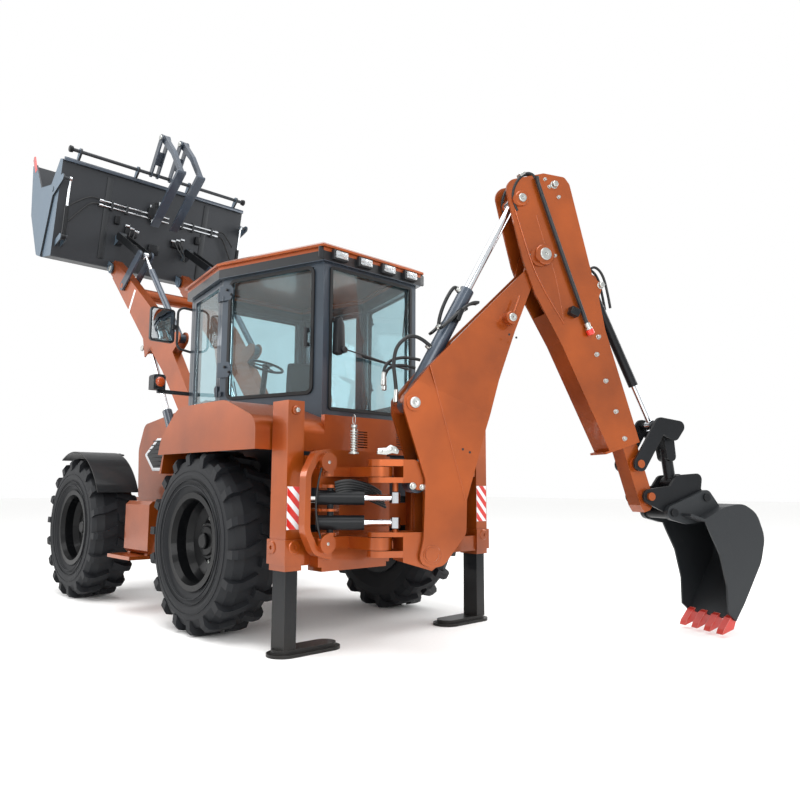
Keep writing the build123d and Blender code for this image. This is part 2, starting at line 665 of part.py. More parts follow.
# ---------------------------------------------------------------- loader bucket
back_top = (3240, 4750)
back_low = (3480, 3690)
floor_front = (3750, 3722)
wall_mm = bucket_plate
moldboard = outline_plate(
    [back_top, (back_top[0] + 18, back_top[1] - 2), (back_low[0] + 12, back_low[1] + 12),
     (floor_front[0] - 2, floor_front[1] + 14), floor_front, (back_low[0] + 5, back_low[1] - 14),
     (back_low[0] - 8, back_low[1] - 6)], -bucket_side, bucket_side)
side_outline = [back_top, (3330, 4780), (3590, 4560), (3890, 4560), (3820, 4200), floor_front,
                (back_low[0] + 5, back_low[1] - 14), (back_low[0] - 8, back_low[1] - 6)]
cheek = outline_plate(side_outline, bucket_side - wall_mm, bucket_side)
moldboard += cheek + mirror(cheek, about=Plane.XZ)
bucket_ear = hull_plate([(*bucket_pin, 62), (3490, 3730, 40)], 355, 373)
bucket_ear += hull_plate([(*bucket_pin, 62), (3490, 3730, 40)], 487, 505)
bucket_ear += cross_pin(bucket_pin, 350, 510, pin_radius)
bucket_ear += hull_plate([(*link_eye, 48), (3440, 4000, 60)], 395, 465)
for ear in both_sides(bucket_ear):
    moldboard += ear
for y in (-1000, -330, 330, 1000):
    moldboard += hull_plate([(fork_rod[0], fork_rod[1], 38), (3250, 4738, 14)], y - 12, y + 12)
moldboard += cross_pin(fork_rod, -1100, 1100, 20)
for side in (1, -1):
    y0, y1 = sorted((side * (bucket_side - 2), side * (bucket_side + 28)))
    moldboard += cross_pin(clam_pin, y0, y1, 30)
clam_clevis = hull_plate([(*clam_base, 38), (3452, 3820, 34)], 1052, 1066)
clam_clevis += hull_plate([(*clam_base, 38), (3452, 3820, 34)], 1112, 1126)
clam_clevis += cross_pin(clam_base, 1060, 1118, 20)
behind_bucket = outline_plate([(3100, 4750), back_top, (back_low[0] - 8, back_low[1] - 6), (3100, 3600)],
                              1000, bucket_side)
clevises = both_sides(clam_clevis & behind_bucket)
add("loader_bucket", moldboard, clevises)

clam_low = bucket_side + 6
clam_side_plate = hull_plate([(*clam_pin, 75), (*clam_rod_pin, 40)], clam_low, clam_low + 16)
clam_side_plate += outline_plate(
    [(3460, 4380), (3775, 3730), (3930, 3790), (4215, 4350), (4262, 4990), (4120, 4960), (3890, 4600),
     (3510, 4520)], clam_low, clam_low + 16)
clam_side_plate -= cross_pin(clam_pin, clam_low - 10, clam_low + 30, 30.05)
clam_side_plate += cross_pin(clam_rod_pin, 1102, clam_low + 5, 18)
clam_wrap = outline_plate(
    [(3762, 3722), (3930, 3782), (4230, 4345), (4276, 4995), (4258, 4999), (4213, 4350), (3918, 3798),
     (3757, 3740)], -clam_low - 10, clam_low + 10)
clam = clam_wrap + clam_side_plate + mirror(clam_side_plate, about=Plane.XZ)
add("bucket_clam", clam)
barrel, rod = ram(clam_base, clam_rod_pin, 0.62, 262, (22, 13), 1089, (22.7, 12), (34, 30), (20, 18))
add("clam_barrels", both_sides(barrel))
add("clam_rods", both_sides(rod))

# two carriers turn on the rod, and a fork folds about the knuckle at each carrier's far end
carriers, forks = [], []
for y in fork_sides:
    carrier = None
    for low, high in ((y - 50, y - 32), (y + 32, y + 50)):
        plate = hull_plate([(*fork_rod, 38), (*fork_knuckle, 44)], low, high)
        plate -= cross_pin(fork_rod, low - 1, high + 1, 20.05)
        carrier = plate if carrier is None else carrier + plate
    carrier += cross_pin(fork_knuckle, y - 62, y + 62, 22)
    rib = [(*along(fork_rod, fork_knuckle, share), 16) for share in (0.3, 0.6)]
    carrier += hull_plate(rib, y - 40, y + 40)
    carriers.append(carrier)
    fork = hull_plate([(*fork_knuckle, 42), (*fork_bend, 30)], y - 25, y + 25)
    fork += hull_plate([(*fork_bend, 30), (*fork_heel, 24)], y - 25, y + 25)
    fork += hull_plate([(*fork_heel, 24), (*fork_tip, 7)], y - 50, y + 50)
    fork -= cross_pin(fork_knuckle, y - 60, y + 60, 22.05)
    forks.append(fork)
add("fork_carriers", carriers)
add("pallet_forks", forks)

# ---------------------------------------------------------------- carriage and swing post
carriage = block(rear_x[0] - 90, rear_x[0] - gap, slew_y - 330, slew_y + 300, 560, 1300)
for low, high, rail_z in ((1150, 1214, 1), (676, 756, -1)):
    lug = extrude(make_hull(
        [edge for x in (slew_x, -1180) for edge in (Pos(x, slew_y) * Circle(85)).edges()]), high - low)
    carriage += Pos(0, 0, low) * lug
    carriage += Pos(0, 0, low) * extrude(make_hull(
        [edge for y in (slew_y - 220, slew_y + 220)
         for edge in (Pos(-1150, y) * Circle(60)).edges()]), high - low)
carriage -= Pos(slew_x, slew_y, 900) * Cylinder(40.05, 1000)
# the carriage's outer edge is a rounded rim that goes round the swing cylinders' tails
rim_rear = -1225
rim_points = [
    (750, 1330), (885, 1318), (968, 1170), (972, 800), (895, 648), (750, 610),
    (750, 668), (862, 694), (926, 806), (926, 1160), (856, 1268), (750, 1272),
]
rim_radii = (0, 90, 150, 160, 90, 0, 0, 60, 110, 110, 60, 0)
carriage += upright_plate(rim_points, rim_rear, rear_x[0] - 90, rim_radii)
for y, z in ((803, 1241), (803, 717)):
    carriage += Pos(rim_rear - clamp_depth / 2, y, z) * Rot(0, 90, 0) * Cylinder(clamp_radius, clamp_depth)
    carriage += block(rim_rear - 1, rear_x[0] - 90, y - 60, y + 60, z - 40, z + 40)
hook_top = block(rear_x[0] - 90, rear_x[0] + 60, slew_y - 300, slew_y + 270,
                 rear_top[1] + gap, rear_top[1] + 40)
hook_low = block(rear_x[0] - 90, rear_x[0] + 60, slew_y - 300, slew_y + 270,
                 rear_bottom[0] - 40, rear_bottom[0] - gap)
carriage += hook_top + hook_low
carriage += block(rear_x[0] - 90, rear_x[0] - gap, slew_y - 300, slew_y + 270,
                  rear_bottom[0] - 40, rear_top[1] + 40)
# two windows let the swing cylinders' tails into the plate, and brackets between them hold the trunnions
for low, high in ((784, 922), (938, 1076)):
    carriage -= block(rear_x[0] - 91, rear_x[0] + 1, 640, slew_y + 301, low, high)
for low, high in ((764, 784), (922, 938), (1076, 1096)):
    carriage += Pos(0, 0, low) * extrude(make_hull(
        [edge for x, y, r in ((*trunnion, 42), (-1115, 650, 40), (-1115, 765, 40))
         for edge in (Pos(x, y) * Circle(r)).edges()]), high - low)
carriage -= Pos(*trunnion, 930) * Cylinder(22.05, 340)
add("carriage", carriage)

post_rear = 130
post_body = outline_plate(
    [(post_rear, 1262), (210, 1262), (345, 1190), (350, 900), (420, 760), (430, 620), (330, 540),
     (post_rear, 600)], -king_side, king_side)
for low, high in ((1219, 1262), (1110, 1145), (761, 790), (630, 671)):
    ear = extrude(make_hull(
        [edge for x, y, r in ((0, 0, 80), (150, 60, 45), (150, -60, 45))
         for edge in (Pos(x, y) * Circle(r)).edges()]), high - low)
    post_body += Pos(0, 0, low) * ear
post_body -= outline_plate([(170, 1300), (500, 1300), (500, 700), (300, 560), (170, 700)], -75, 75)
post_body -= block(0, 275, -200, 200, 790, 1110)
post_body += Pos(0, 0, 1190) * Cylinder(40, 144) + Pos(0, 0, 710) * Cylinder(40, 160)
post_body += cross_pin(boom_foot, -king_side, king_side, 62)
post_body += cross_pin(boom_foot, -boom_side - 14, boom_side + 14, 45)
for side in (1, -1):
    v0, v1 = sorted((side * 62.3, side * king_side))
    post_body += cross_pin(king_ram_pin, v0, v1, 42)
post_body += cross_pin(king_ram_pin, -70, 70, pin_radius)
for low, high in ((785, 807), (1053, 1115)):
    post_body += Pos(swing_eye_out, 0, (low + high) / 2) * Cylinder(20, high - low)
add("swing_post", slewed(post_body))

swing_levels = (848, 1012)
swing_barrel_radius = 49
swing_barrel_tail = 92
swing_barrel_nose = 225
swing_rod_start = 165
swing_rod_radius = 22
eye_angle = radians(slew_turn)
swing_eye = (slew_x + swing_eye_out * cos(eye_angle), slew_y + swing_eye_out * sin(eye_angle))
swing_reach = hypot(swing_eye[0] - trunnion[0], swing_eye[1] - trunnion[1])
swing_way = degrees(atan2(swing_eye[1] - trunnion[1], swing_eye[0] - trunnion[0]))
swing_barrels, swing_rods = [], []
for z in swing_levels:
    place = Location((trunnion[0], trunnion[1], z), (0, 0, swing_way))
    tube = Pos((swing_barrel_nose - swing_barrel_tail) / 2, 0, 0) * Rot(0, 90, 0) * Cylinder(
        swing_barrel_radius, swing_barrel_nose + swing_barrel_tail)
    tube += Cylinder(22, 160)
    bore = Cylinder(swing_rod_radius + 0.05, swing_barrel_nose,
                    align=(Align.CENTER, Align.CENTER, Align.MIN))
    tube -= Pos(5, 0, 0) * Rot(0, 90, 0) * bore
    swing_barrels.append(place * tube)
    rod_length = swing_reach - 20 - swing_rod_start
    rod_middle = swing_rod_start + rod_length / 2
    shaft = Pos(rod_middle, 0, 0) * Rot(0, 90, 0) * Cylinder(swing_rod_radius, rod_length)
    shaft += Pos(swing_reach, 0, 0) * Cylinder(34, 70)
    swing_rods.append(place * shaft)
add("swing_barrels", swing_barrels)
add("swing_rods", swing_rods)

# ---------------------------------------------------------------- boom
boom_outline = [
    (258, 742), (225, 600), (312, 560), (400, 575), (560, 780), (566, 1000), (709, 1472), (827, 1823),
    (1150, 2606), (1240, 2720), (1220, 2830), (1100, 2800), (1060, 2640), (307, 1897), (120, 1680),
    (120, 1590), (272, 1130),
]
boom_cut = [
    (100, 500), (500, 500), (520, 1000), (680, 1482), (798, 1832), (1030, 2390), (975, 2440), (330, 1790),
    (240, 1640), (100, 1640),
]
spread = [(-200, boom_side), (1500, boom_side)]
boom_length = hypot(dipper_pin[0] - boom_foot[0], dipper_pin[1] - boom_foot[1])
boom_angle = degrees(atan2(dipper_pin[1] - boom_foot[1], dipper_pin[0] - boom_foot[0]))


def boom_plan(outer, end):
    """The boom's width, seen square to its length: wide at the foot, narrow at the dipper."""
    points = [(-300, outer), (boom_length * 0.45, outer), (boom_length * 0.74, end), (boom_length + 300, end)]
    outline = points + [(x, -y) for x, y in reversed(points)]
    solid = Pos(0, 0, -1500) * extrude(make_face(Polyline(*outline, close=True)), 3000)
    return Location((boom_foot[0], 0, boom_foot[1]), (0, -boom_angle, 0)) * solid


boom_radii = (0, 60, 45, 80, 60, 0, 0, 0, 30, 50, 50, 50, 0, 0, 50, 40, 0)
boom = outline_plate(boom_outline, -200, 200, boom_radii) & boom_plan(boom_side, boom_end_side)
boom -= outline_plate(boom_cut, -200, 200) & boom_plan(boom_side - boom_plate, boom_end_side - 20)
boom -= cross_pin(boom_foot, -300, 300, 45.05)
boom -= cross_pin(dipper_pin, -300, 300, 40.05)
trough = outline_plate(
    [(0, 1500), (258, 1520), (420, 1870), (1030, 2470), (1180, 2640), (1100, 3000), (0, 2400)], -62, 62)
boom -= trough
ram_pocket = [
    (953, 2270, 50), (857, 2105, 66), (801, 2010, 66), (*lift_eye, 60), (770, 2337, 70), (360, 1700, 75),
    (430, 1600, 75),
]
boom -= hull_plate(ram_pocket, -62, 62)
for side in (1, -1):
    v0, v1 = sorted((side * 54.3, side * (boom_side + 12)))
    boom += cross_pin(dipper_base_pin, v0, v1, 55)
    v0, v1 = sorted((side * 36.3, side * (boom_side - 5)))
    boom += cross_pin(lift_eye, v0, v1, 50)
boom += cross_pin(dipper_base_pin, -60, 60, pin_radius)
add("boom", slewed(boom))
barrel, rod = ram(king_ram_pin, lift_eye, 0.85, 40, (60, 34), 0, (62, 36), (62, 44), (30, 30))
add("boom_barrel", slewed(barrel))
add("boom_rod", slewed(rod))

# ---------------------------------------------------------------- dipper
outer_outline = [
    (-600, -85), (-600, 254), (-540, 420), (-480, 445), (240, 400), (312, 470), (400, 400), (645, 370),
    (1516, 370), (1516, 100), (640, -30), (245, -117), (0, -130), (-300, -110),
]
outer_radii = (90, 60, 40, 40, 0, 20, 0, 0, 0, 0, 0, 0, 0, 0)
dipper = outline_plate([dipper_point(s, n) for s, n in outer_outline], -dipper_side, dipper_side, outer_radii)
channel = [
    (-700, -200), (-700, 95), (-575, 95), (-575, 500), (1600, 500), (1600, 130),
    (700, 20), (420, -70), (300, -200),
]
dipper_inside = dipper_side - dipper_plate
dipper -= outline_plate([dipper_point(s, n) for s, n in channel], -dipper_inside, dipper_inside)
flange = outline_plate([dipper_point(s, n) for s, n in ((1500, 60), (1500, 275), (1516, 275), (1516, 60))],
                       -dipper_side - 2, dipper_side + 2)
flange += outline_plate([dipper_point(s, n) for s, n in ((1500, 270), (1500, 370), (1516, 370), (1516, 270))],
                        -dipper_side, dipper_side)
flange_hole = [(1480, 233 - gap), (1480, 359 + gap), (1530, 359 + gap), (1530, 233 - gap)]
flange -= outline_plate([dipper_point(s, n) for s, n in flange_hole], -inner_side - gap, inner_side + gap)
dipper += flange
for side in (1, -1):
    v0, v1 = sorted((side * 36.3, side * (dipper_side + 15)))
    dipper += cross_pin(tail_pin, v0, v1, 48)
dipper += cross_pin(dipper_pin, -dipper_side - 35, dipper_side + 35, 40)
dipper += cross_pin(dipper_pin, -dipper_side - 15, -dipper_inside, 70)
dipper += cross_pin(dipper_pin, dipper_inside, dipper_side + 15, 70)
add("dipper", slewed(dipper))
barrel, rod = ram(dipper_base_pin, tail_pin, 0.60, 720, (52, 30), 0, (54, 36), (55, 50), (30, 30))
add("dipper_barrel", slewed(barrel))
add("dipper_rod", slewed(rod))

inner_outline = [(230, 233), (230, 359), (1905, 359), (1990, 345), (2020, 300), (2020, 250), (1960, 233)]
inner = outline_plate([dipper_point(s, n) for s, n in inner_outline], -inner_side, inner_side)
inner += hull_plate([(*lever_foot, 52), (*dipper_point(1660, 300), 40)], -inner_side - 12, inner_side + 12)
inner += cross_pin(lever_foot, -130, 130, pin_radius)
inner += cross_pin(hitch_pin, -inner_side - 12, inner_side + 12, 62)
inner += cross_pin(hitch_pin, -132, 132, pin_radius)
for low, high in ((-52, -38), (38, 52)):
    ram_lug = [(*bucket_ram_base, 45), (*dipper_point(250, 350), 20), (*dipper_point(420, 350), 20)]
    inner += hull_plate(ram_lug, low, high)
inner += cross_pin(bucket_ram_base, -45, 45, pin_radius)
add("dipper_extension", slewed(inner))
barrel, rod = ram(bucket_ram_base, lever_rod_pin, 0.72, 195, (36, 22), 0, (37.7, 30), (45, 40), (30, 30))
add("bucket_barrel", slewed(barrel))
add("bucket_rod", slewed(rod))

# ---------------------------------------------------------------- tipping linkage, hitch and bucket
tipping = []
for low, high in ((-124, -104), (104, 124)):
    plate = hull_plate([(*lever_foot, 55), (*lever_rod_pin, 55)], low, high)
    plate += hull_plate([(*lever_rod_pin, 55), (*lever_link_pin, 55), (2330, 1545, 45)], low, high)
    plate -= cross_pin(lever_foot, low - 1, high + 1, pin_radius + 0.05)
    tipping.append(plate)
tipping_lever = tipping[0] + tipping[1]
for low, high in ((-115, -30.3), (30.3, 115)):
    tipping_lever += cross_pin(lever_rod_pin, low, high, pin_radius)
tipping_lever += cross_pin(lever_link_pin, -124, 124, pin_radius)
add("tipping_lever", slewed(tipping_lever))
tipping_link = bar(lever_link_pin, hitch_link_pin, 42, 0, 110, 20)
tipping_link += cross_pin(hitch_link_pin, -60, 60, 48)
for low, high in ((-60, -36), (36, 60)):
    fork_root = along(lever_link_pin, hitch_link_pin, 0.45)
    tipping_link += hull_plate([(*lever_link_pin, 48), (*fork_root, 40)], low, high)
tipping_link += hull_plate([(*along(lever_link_pin, hitch_link_pin, 0.42), 40), (*fork_root, 40)], -50, 50)
tipping_link -= cross_pin(lever_link_pin, -70, 70, pin_radius + 0.05)
tipping_link -= cross_pin(hitch_link_pin, -70, 70, pin_radius + 0.05)
add("tipping_link", slewed(tipping_link))

hitch_plates = []
for low, high in ((-112, -90), (90, 112)):
    plate = hull_plate([(*hitch_pin, 55), (2200, 960, 60), (2300, 1060, 50)], low, high)
    rear_hook = [(2200, 960, 60), (*hitch_link_pin, 60), (2480, 1150, 45), (2470, 1060, 40)]
    plate += hull_plate(rear_hook, low, high)
    plate -= cross_pin(hitch_pin, low - 1, high + 1, pin_radius + 0.05)
    hitch_plates.append(plate)
hitch = hitch_plates[0] + hitch_plates[1]
for low, high in ((-100, -60.3), (60.3, 100)):
    hitch += cross_pin(hitch_link_pin, low, high, pin_radius)
hitch += cross_pin(bucket_pin_front, -175, 175, pin_radius)
hitch += cross_pin(bucket_pin_rear, -175, 175, pin_radius)
hitch += hull_plate([(*bucket_pin_front, 45), (2250, 960, 45)], -112, 112)
hitch += hull_plate([(*bucket_pin_rear, 45), (2480, 1064, 34)], -112, 112)
add("quick_hitch", slewed(hitch))

digger_ears = []
for low, high in ((-160, -120), (120, 160)):
    plate = hull_plate([(*bucket_pin_front, 55), (2330, 850, 30), (*bucket_pin_rear, 55), (2600, 900, 60)],
                       low, high)
    plate -= cross_pin(bucket_pin_front, low - 1, high + 1, pin_radius + 0.05)
    plate -= cross_pin(bucket_pin_rear, low - 1, high + 1, pin_radius + 0.05)
    digger_ears.append(plate)
shell_points = [
    (2290, 900), (2420, 860), (2600, 945), (2770, 975), (2900, 900), (2965, 720), (2920, 540), (2740, 240),
    (2655, 120),
]
inside_points = [
    (2655, 120), (2640, 132), (2722, 252), (2900, 545), (2943, 718), (2884, 886), (2768, 954), (2608, 925),
    (2420, 840), (2290, 880),
]
digger_outline = shell_points + inside_points[1:]
digger_radii = (0, 0, 0, 160, 160, 200, 300, 0, 0, 0, 0, 278, 178, 138, 138, 0, 0, 0)
digger = outline_plate(digger_outline, -digger_side, digger_side, digger_radii)
cheek_points = [
    (2420, 850), (2600, 940), (2770, 972), (2898, 898), (2962, 720), (2918, 542), (2738, 242), (2655, 122),
    (2590, 180), (2590, 380), (2540, 600), (2460, 760),
]
cheek_radii = (0, 0, 158, 158, 198, 298, 0, 0, 0, 60, 90, 60)
for low, high in ((-digger_side, -digger_side + 16), (digger_side - 16, digger_side)):
    digger += outline_plate(cheek_points, low, high, cheek_radii)
digger += digger_ears[0] + digger_ears[1]
add("digging_bucket", slewed(digger))
teeth = []
for index in range(4):
    y = -195 + 130 * index
    teeth.append(outline_plate([(2700, 175), (2650, 60), (2545, 25), (2560, 60), (2625, 140)], y - 32, y + 32)
                 - outline_plate(digger_outline, y - 40, y + 40, digger_radii))
add("bucket_teeth", [slewed(tooth) for tooth in teeth])

# ---------------------------------------------------------------- write the nodes
boxes = [solid.bounding_box() for solids in nodes.values() for solid in solids]
low_x, high_x = min(box.min.X for box in boxes), max(box.max.X for box in boxes)
low_y, high_y = min(box.min.Y for box in boxes), max(box.max.Y for box in boxes)
low_z, high_z = min(box.min.Z for box in boxes), max(box.max.Z for box in boxes)
middle_x, middle_y = (low_x + high_x) / 2, (low_y + high_y) / 2
to_origin = Pos(-middle_x, -middle_y, -low_z)
for name, solids in nodes.items():
    moved = [to_origin * solid for solid in solids]
    export_step(moved[0] if len(moved) == 1 else Compound(children=moved), f"parts/{name}.step")
print(f"origin at {middle_x:.2f}, {middle_y:.2f}, {low_z:.2f}")
print(f"size {high_x - low_x:.1f} x {high_y - low_y:.1f} x {high_z - low_z:.1f}")
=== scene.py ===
# %% [markdown]
# A backhoe loader is two machines on one chassis: a loader in front, whose arms lift a wide bucket
# over the bonnet, and a digging arm behind, which swings on a post. Its engineering is already done
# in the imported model, so this lesson only dresses it: finishes first, then the small pieces that a
# drawing office leaves to the workshop, such as bolts, hoses, seals, lamps and hazard stripes.

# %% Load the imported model
import bpy
import bmesh
import json
import math
from mathutils import Matrix, Vector


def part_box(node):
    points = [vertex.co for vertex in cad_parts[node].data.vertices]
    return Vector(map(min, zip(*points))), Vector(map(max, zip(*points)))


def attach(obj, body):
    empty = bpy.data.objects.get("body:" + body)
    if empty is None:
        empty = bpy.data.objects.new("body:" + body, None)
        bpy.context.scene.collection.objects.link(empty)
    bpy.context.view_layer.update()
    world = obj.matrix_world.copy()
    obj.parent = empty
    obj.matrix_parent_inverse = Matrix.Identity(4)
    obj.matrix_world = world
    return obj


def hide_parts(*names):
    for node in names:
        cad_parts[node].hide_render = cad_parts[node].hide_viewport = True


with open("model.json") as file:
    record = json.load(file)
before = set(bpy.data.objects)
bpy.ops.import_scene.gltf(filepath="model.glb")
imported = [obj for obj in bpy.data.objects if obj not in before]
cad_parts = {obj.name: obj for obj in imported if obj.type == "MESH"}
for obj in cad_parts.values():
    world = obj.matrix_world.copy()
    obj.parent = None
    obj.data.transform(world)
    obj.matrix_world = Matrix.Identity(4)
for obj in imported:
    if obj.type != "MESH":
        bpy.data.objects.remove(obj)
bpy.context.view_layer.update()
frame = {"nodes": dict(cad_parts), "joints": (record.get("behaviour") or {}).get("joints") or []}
nodes = frame["nodes"]
joints = {joint["name"]: joint for joint in frame["joints"]}

# %% [markdown]
# Every place in this file is measured from the machine itself. The rear axle, the middle line and
# the ground make a natural corner to measure from, and the boxes of the two rear rims give it. The
# digging arm has a plane of its own, from the swing post outwards, which the joints give.

# %% Places on the machine, in millimetres
def middle_of(node):
    """The middle of a node's box."""
    low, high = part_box(node)
    return (low + high) / 2


left_hub = middle_of("rim_rear_left")
right_hub = middle_of("rim_rear_right")
home = Vector(((left_hub.x + right_hub.x) / 2, (left_hub.y + right_hub.y) / 2, 0))


def at(forward, left, up):
    """A point from millimetres forward of the rear axle, left of the middle line and above ground."""
    return home + Vector((forward, left, up)) / 1000


def pivot(name):
    """Where a joint turns."""
    return Vector(joints[name]["pos_m"])


post_axis = pivot("swing")
outward = pivot("boom_lift") - post_axis
outward.z = 0
outward.normalize()
sideways = Vector(joints["boom_lift"]["axis"])
UP = Vector((0, 0, 1))


def on_arm(out, side, up):
    """A point in the digging arm's plane: out from the post, to its left side, above the ground."""
    return Vector((post_axis.x, post_axis.y, 0)) + (outward * out + sideways * side + UP * up) / 1000


print("rear axle at", [round(v, 3) for v in home], "arm points", [round(v, 3) for v in outward])

# %% [markdown]
# The viewer stands behind the machine on its left, a little below the driver's feet, with an
# ordinary lens. The camera is placed from the rear axle, so it follows the machine if the model's
# origin moves.

# %% The camera
camera_data = bpy.data.cameras.new("viewer")
camera_data.sensor_width = 36
camera_data.lens = 32.18
camera = bpy.data.objects.new("viewer", camera_data)
bpy.context.scene.collection.objects.link(camera)
bpy.context.scene.camera = camera
yaw, pitch, roll = math.radians(43.66), math.radians(6.94), math.radians(0.26)
sight = Vector((math.cos(yaw) * math.cos(pitch), -math.sin(yaw) * math.cos(pitch), math.sin(pitch)))
camera.rotation_mode = "QUATERNION"
camera.rotation_quaternion = sight.to_track_quat("-Z", "Y")
camera.rotation_quaternion @= Matrix.Rotation(roll, 4, "Z").to_quaternion()
camera.location = at(-4958, 3703.5, 1082.8)
print("camera", [round(v, 3) for v in camera.location])

# %% [markdown]
# Light for a glossy machine comes from large soft panels, because paint and chrome show what they
# mirror. One broad panel hangs over the machine, one stands behind the viewer, one lights the far
# side and one the nose.

# %% Lights
def softbox(name, place, target, width, power):
    """A square soft light that faces a target."""
    data = bpy.data.lights.new(name, "AREA")
    data.shape = "SQUARE"
    data.size = width
    data.energy = power
    lamp = bpy.data.objects.new(name, data)
    lamp.location = place
    lamp.rotation_mode = "QUATERNION"
    lamp.rotation_quaternion = (target - place).to_track_quat("-Z", "Y")
    bpy.context.scene.collection.objects.link(lamp)
    return lamp


chest = at(0, 0, 1600)
softbox("overhead", at(-500, 1500, 9500), chest, 8.0, 760)
softbox("behind_viewer", at(-8500, 4500, 4200), chest, 5.0, 430)
softbox("far_side", at(-4000, -8500, 5500), chest, 5.0, 340)
softbox("front_side", at(7500, 7500, 5500), chest, 5.0, 380)
print("lights", len(bpy.data.lights))

# %% [markdown]
# Colours are written as the hex codes a paint shop would give and turned to linear light by one
# function. A second function adds a shader node with its settings and its links, so a material
# reads from top to bottom like a recipe.

# %% Colour and node helpers
def linear(code):
    """An sRGB hex code as linear red, green, blue and alpha."""
    channels = [int(code[i:i + 2], 16) / 255 for i in (0, 2, 4)]
    return [c / 12.92 if c <= 0.04045 else ((c + 0.055) / 1.055) ** 2.4 for c in channels] + [1.0]


def add_node(material, kind, inputs=None, **settings):
    """Adds a shader node: settings are its own properties, inputs are values or other nodes' outputs."""
    tree = material.node_tree
    made = tree.nodes.new("ShaderNode" + kind)
    for name, value in settings.items():
        setattr(made, name, value)
    for name, value in (inputs or {}).items():
        if isinstance(value, bpy.types.NodeSocket):
            tree.links.new(value, made.inputs[name])
        else:
            made.inputs[name].default_value = value
    return made


def new_finish(name):
    """An empty material with its output node, its surface shader and the surface's own coordinates."""
    material = bpy.data.materials.new(name)
    material.use_nodes = True
    material.node_tree.nodes.clear()
    output = add_node(material, "OutputMaterial")
    shader = add_node(material, "BsdfPrincipled")
    material.node_tree.links.new(shader.outputs["BSDF"], output.inputs["Surface"])
    place = add_node(material, "TexCoord").outputs["Object"]
    return material, shader, place


def connect(material, source, shader, socket):
    """Links a source to one of the shader's sockets."""
    material.node_tree.links.new(source, shader.inputs[socket])


def per_metre(millimetres):
    """A pattern's scale in a shader, from the size of one of its grains in millimetres."""
    return 1000 / millimetres


print("middle grey in linear light", round(linear("808080")[0], 3))

# %% [markdown]
# Sprayed enamel is never one flat colour. It is a little deeper where the coat is thicker, it has
# the faint dimples called orange peel, it gathers dust near the ground and it is rubbed bright at
# sharp edges. The bevel node finds those edges: it compares the rounded normal with the true one.

# %% Sprayed enamel
def enamel(name, colour, deep, dust, metallic, roughness, coat, peel, edge, edge_amount, dust_height):
    """Sprayed paint on steel: colour variation, orange peel, low dust and rubbed edges."""
    material, shader, place = new_finish(name)
    clouds = add_node(material, "TexNoise", {"Vector": place, "Scale": per_metre(420), "Detail": 4.0})
    thick = add_node(material, "ValToRGB", {"Fac": clouds.outputs["Fac"]})
    thick.color_ramp.elements[0].position, thick.color_ramp.elements[1].position = 0.3, 0.72
    thick.color_ramp.elements[0].color, thick.color_ramp.elements[1].color = linear(deep), linear(colour)
    specks = add_node(material, "TexNoise", {"Vector": place, "Scale": per_metre(14), "Detail": 6.0,
                                             "Roughness": 0.7})
    height = add_node(material, "SeparateXYZ", {"Vector": place}).outputs["Z"]
    low = add_node(material, "MapRange", {"Value": height, "From Min": 0.0, "From Max": dust_height,
                                          "To Min": 0.36, "To Max": 0.0}).outputs["Result"]
    dusty = add_node(material, "Math", {0: low, 1: specks.outputs["Fac"]}, operation="MULTIPLY")
    dusted = add_node(material, "MixRGB", {"Fac": dusty.outputs[0], "Color1": thick.outputs["Color"],
                                           "Color2": linear(dust)}).outputs["Color"]
    rounded = add_node(material, "Bevel", {"Radius": 0.006}, samples=4)
    flat = add_node(material, "NewGeometry")
    same = add_node(material, "VectorMath", {0: rounded.outputs["Normal"], 1: flat.outputs["Normal"]},
                    operation="DOT_PRODUCT")
    rubbed = add_node(material, "MapRange", {"Value": same.outputs["Value"], "From Min": 0.97,
                                             "From Max": 0.80, "To Min": 0.0, "To Max": edge_amount})
    worn = add_node(material, "Math", {0: rubbed.outputs["Result"], 1: specks.outputs["Fac"]},
                    operation="MULTIPLY")
    edged = add_node(material, "MixRGB", {"Fac": worn.outputs[0], "Color1": dusted,
                                          "Color2": linear(edge)}).outputs["Color"]
    connect(material, edged, shader, "Base Color")
    dull = add_node(material, "MapRange", {"Value": specks.outputs["Fac"], "From Min": 0.3,
                                           "From Max": 0.7, "To Min": roughness - 0.05,
                                           "To Max": roughness + 0.09})
    connect(material, dull.outputs["Result"], shader, "Roughness")
    # Real orange peel is about 2 mm across, too fine to show here, so it is drawn at 9 mm.
    dimples = add_node(material, "TexNoise", {"Vector": place, "Scale": per_metre(9), "Detail": 2.0})
    bump = add_node(material, "Bump", {"Height": dimples.outputs["Fac"], "Strength": peel,
                                       "Distance": 0.002})
    connect(material, bump.outputs["Normal"], shader, "Normal")
    shader.inputs["Metallic"].default_value = metallic
    shader.inputs["Coat Weight"].default_value = coat
    clear_coated = coat > 0.3
    full_specular, satin_specular = 0.5, 0.15
    shader.inputs["Specular IOR Level"].default_value = full_specular if clear_coated else satin_specular
    shader.inputs["Coat Roughness"].default_value = 0.07
    return material


# Copper paint holds metal flakes, so it is bright where it faces the light and deep brown elsewhere.
copper_enamel = enamel("copper_enamel", "9F490F", "7F3808", "6A4E34", 0.55, 0.32, 0.45, 0.06,
                       "C9743C", 0.25, 0.60)
# Slate metallic enamel is the cab's cool grey, and it goes almost black in shade.
slate_enamel = enamel("slate_enamel", "35404B", "262F38", "6B665C", 0.35, 0.36, 0.4, 0.05,
                      "8C98A4", 0.25, 0.75)
# Cylinders, levers and forks wear a bluer slate that work has rubbed more at the edges.
cylinder_enamel = enamel("cylinder_enamel", "34404E", "252D37", "5D584F", 0.3, 0.36, 0.4, 0.05,
                         "7F8B98", 0.4, 0.75)
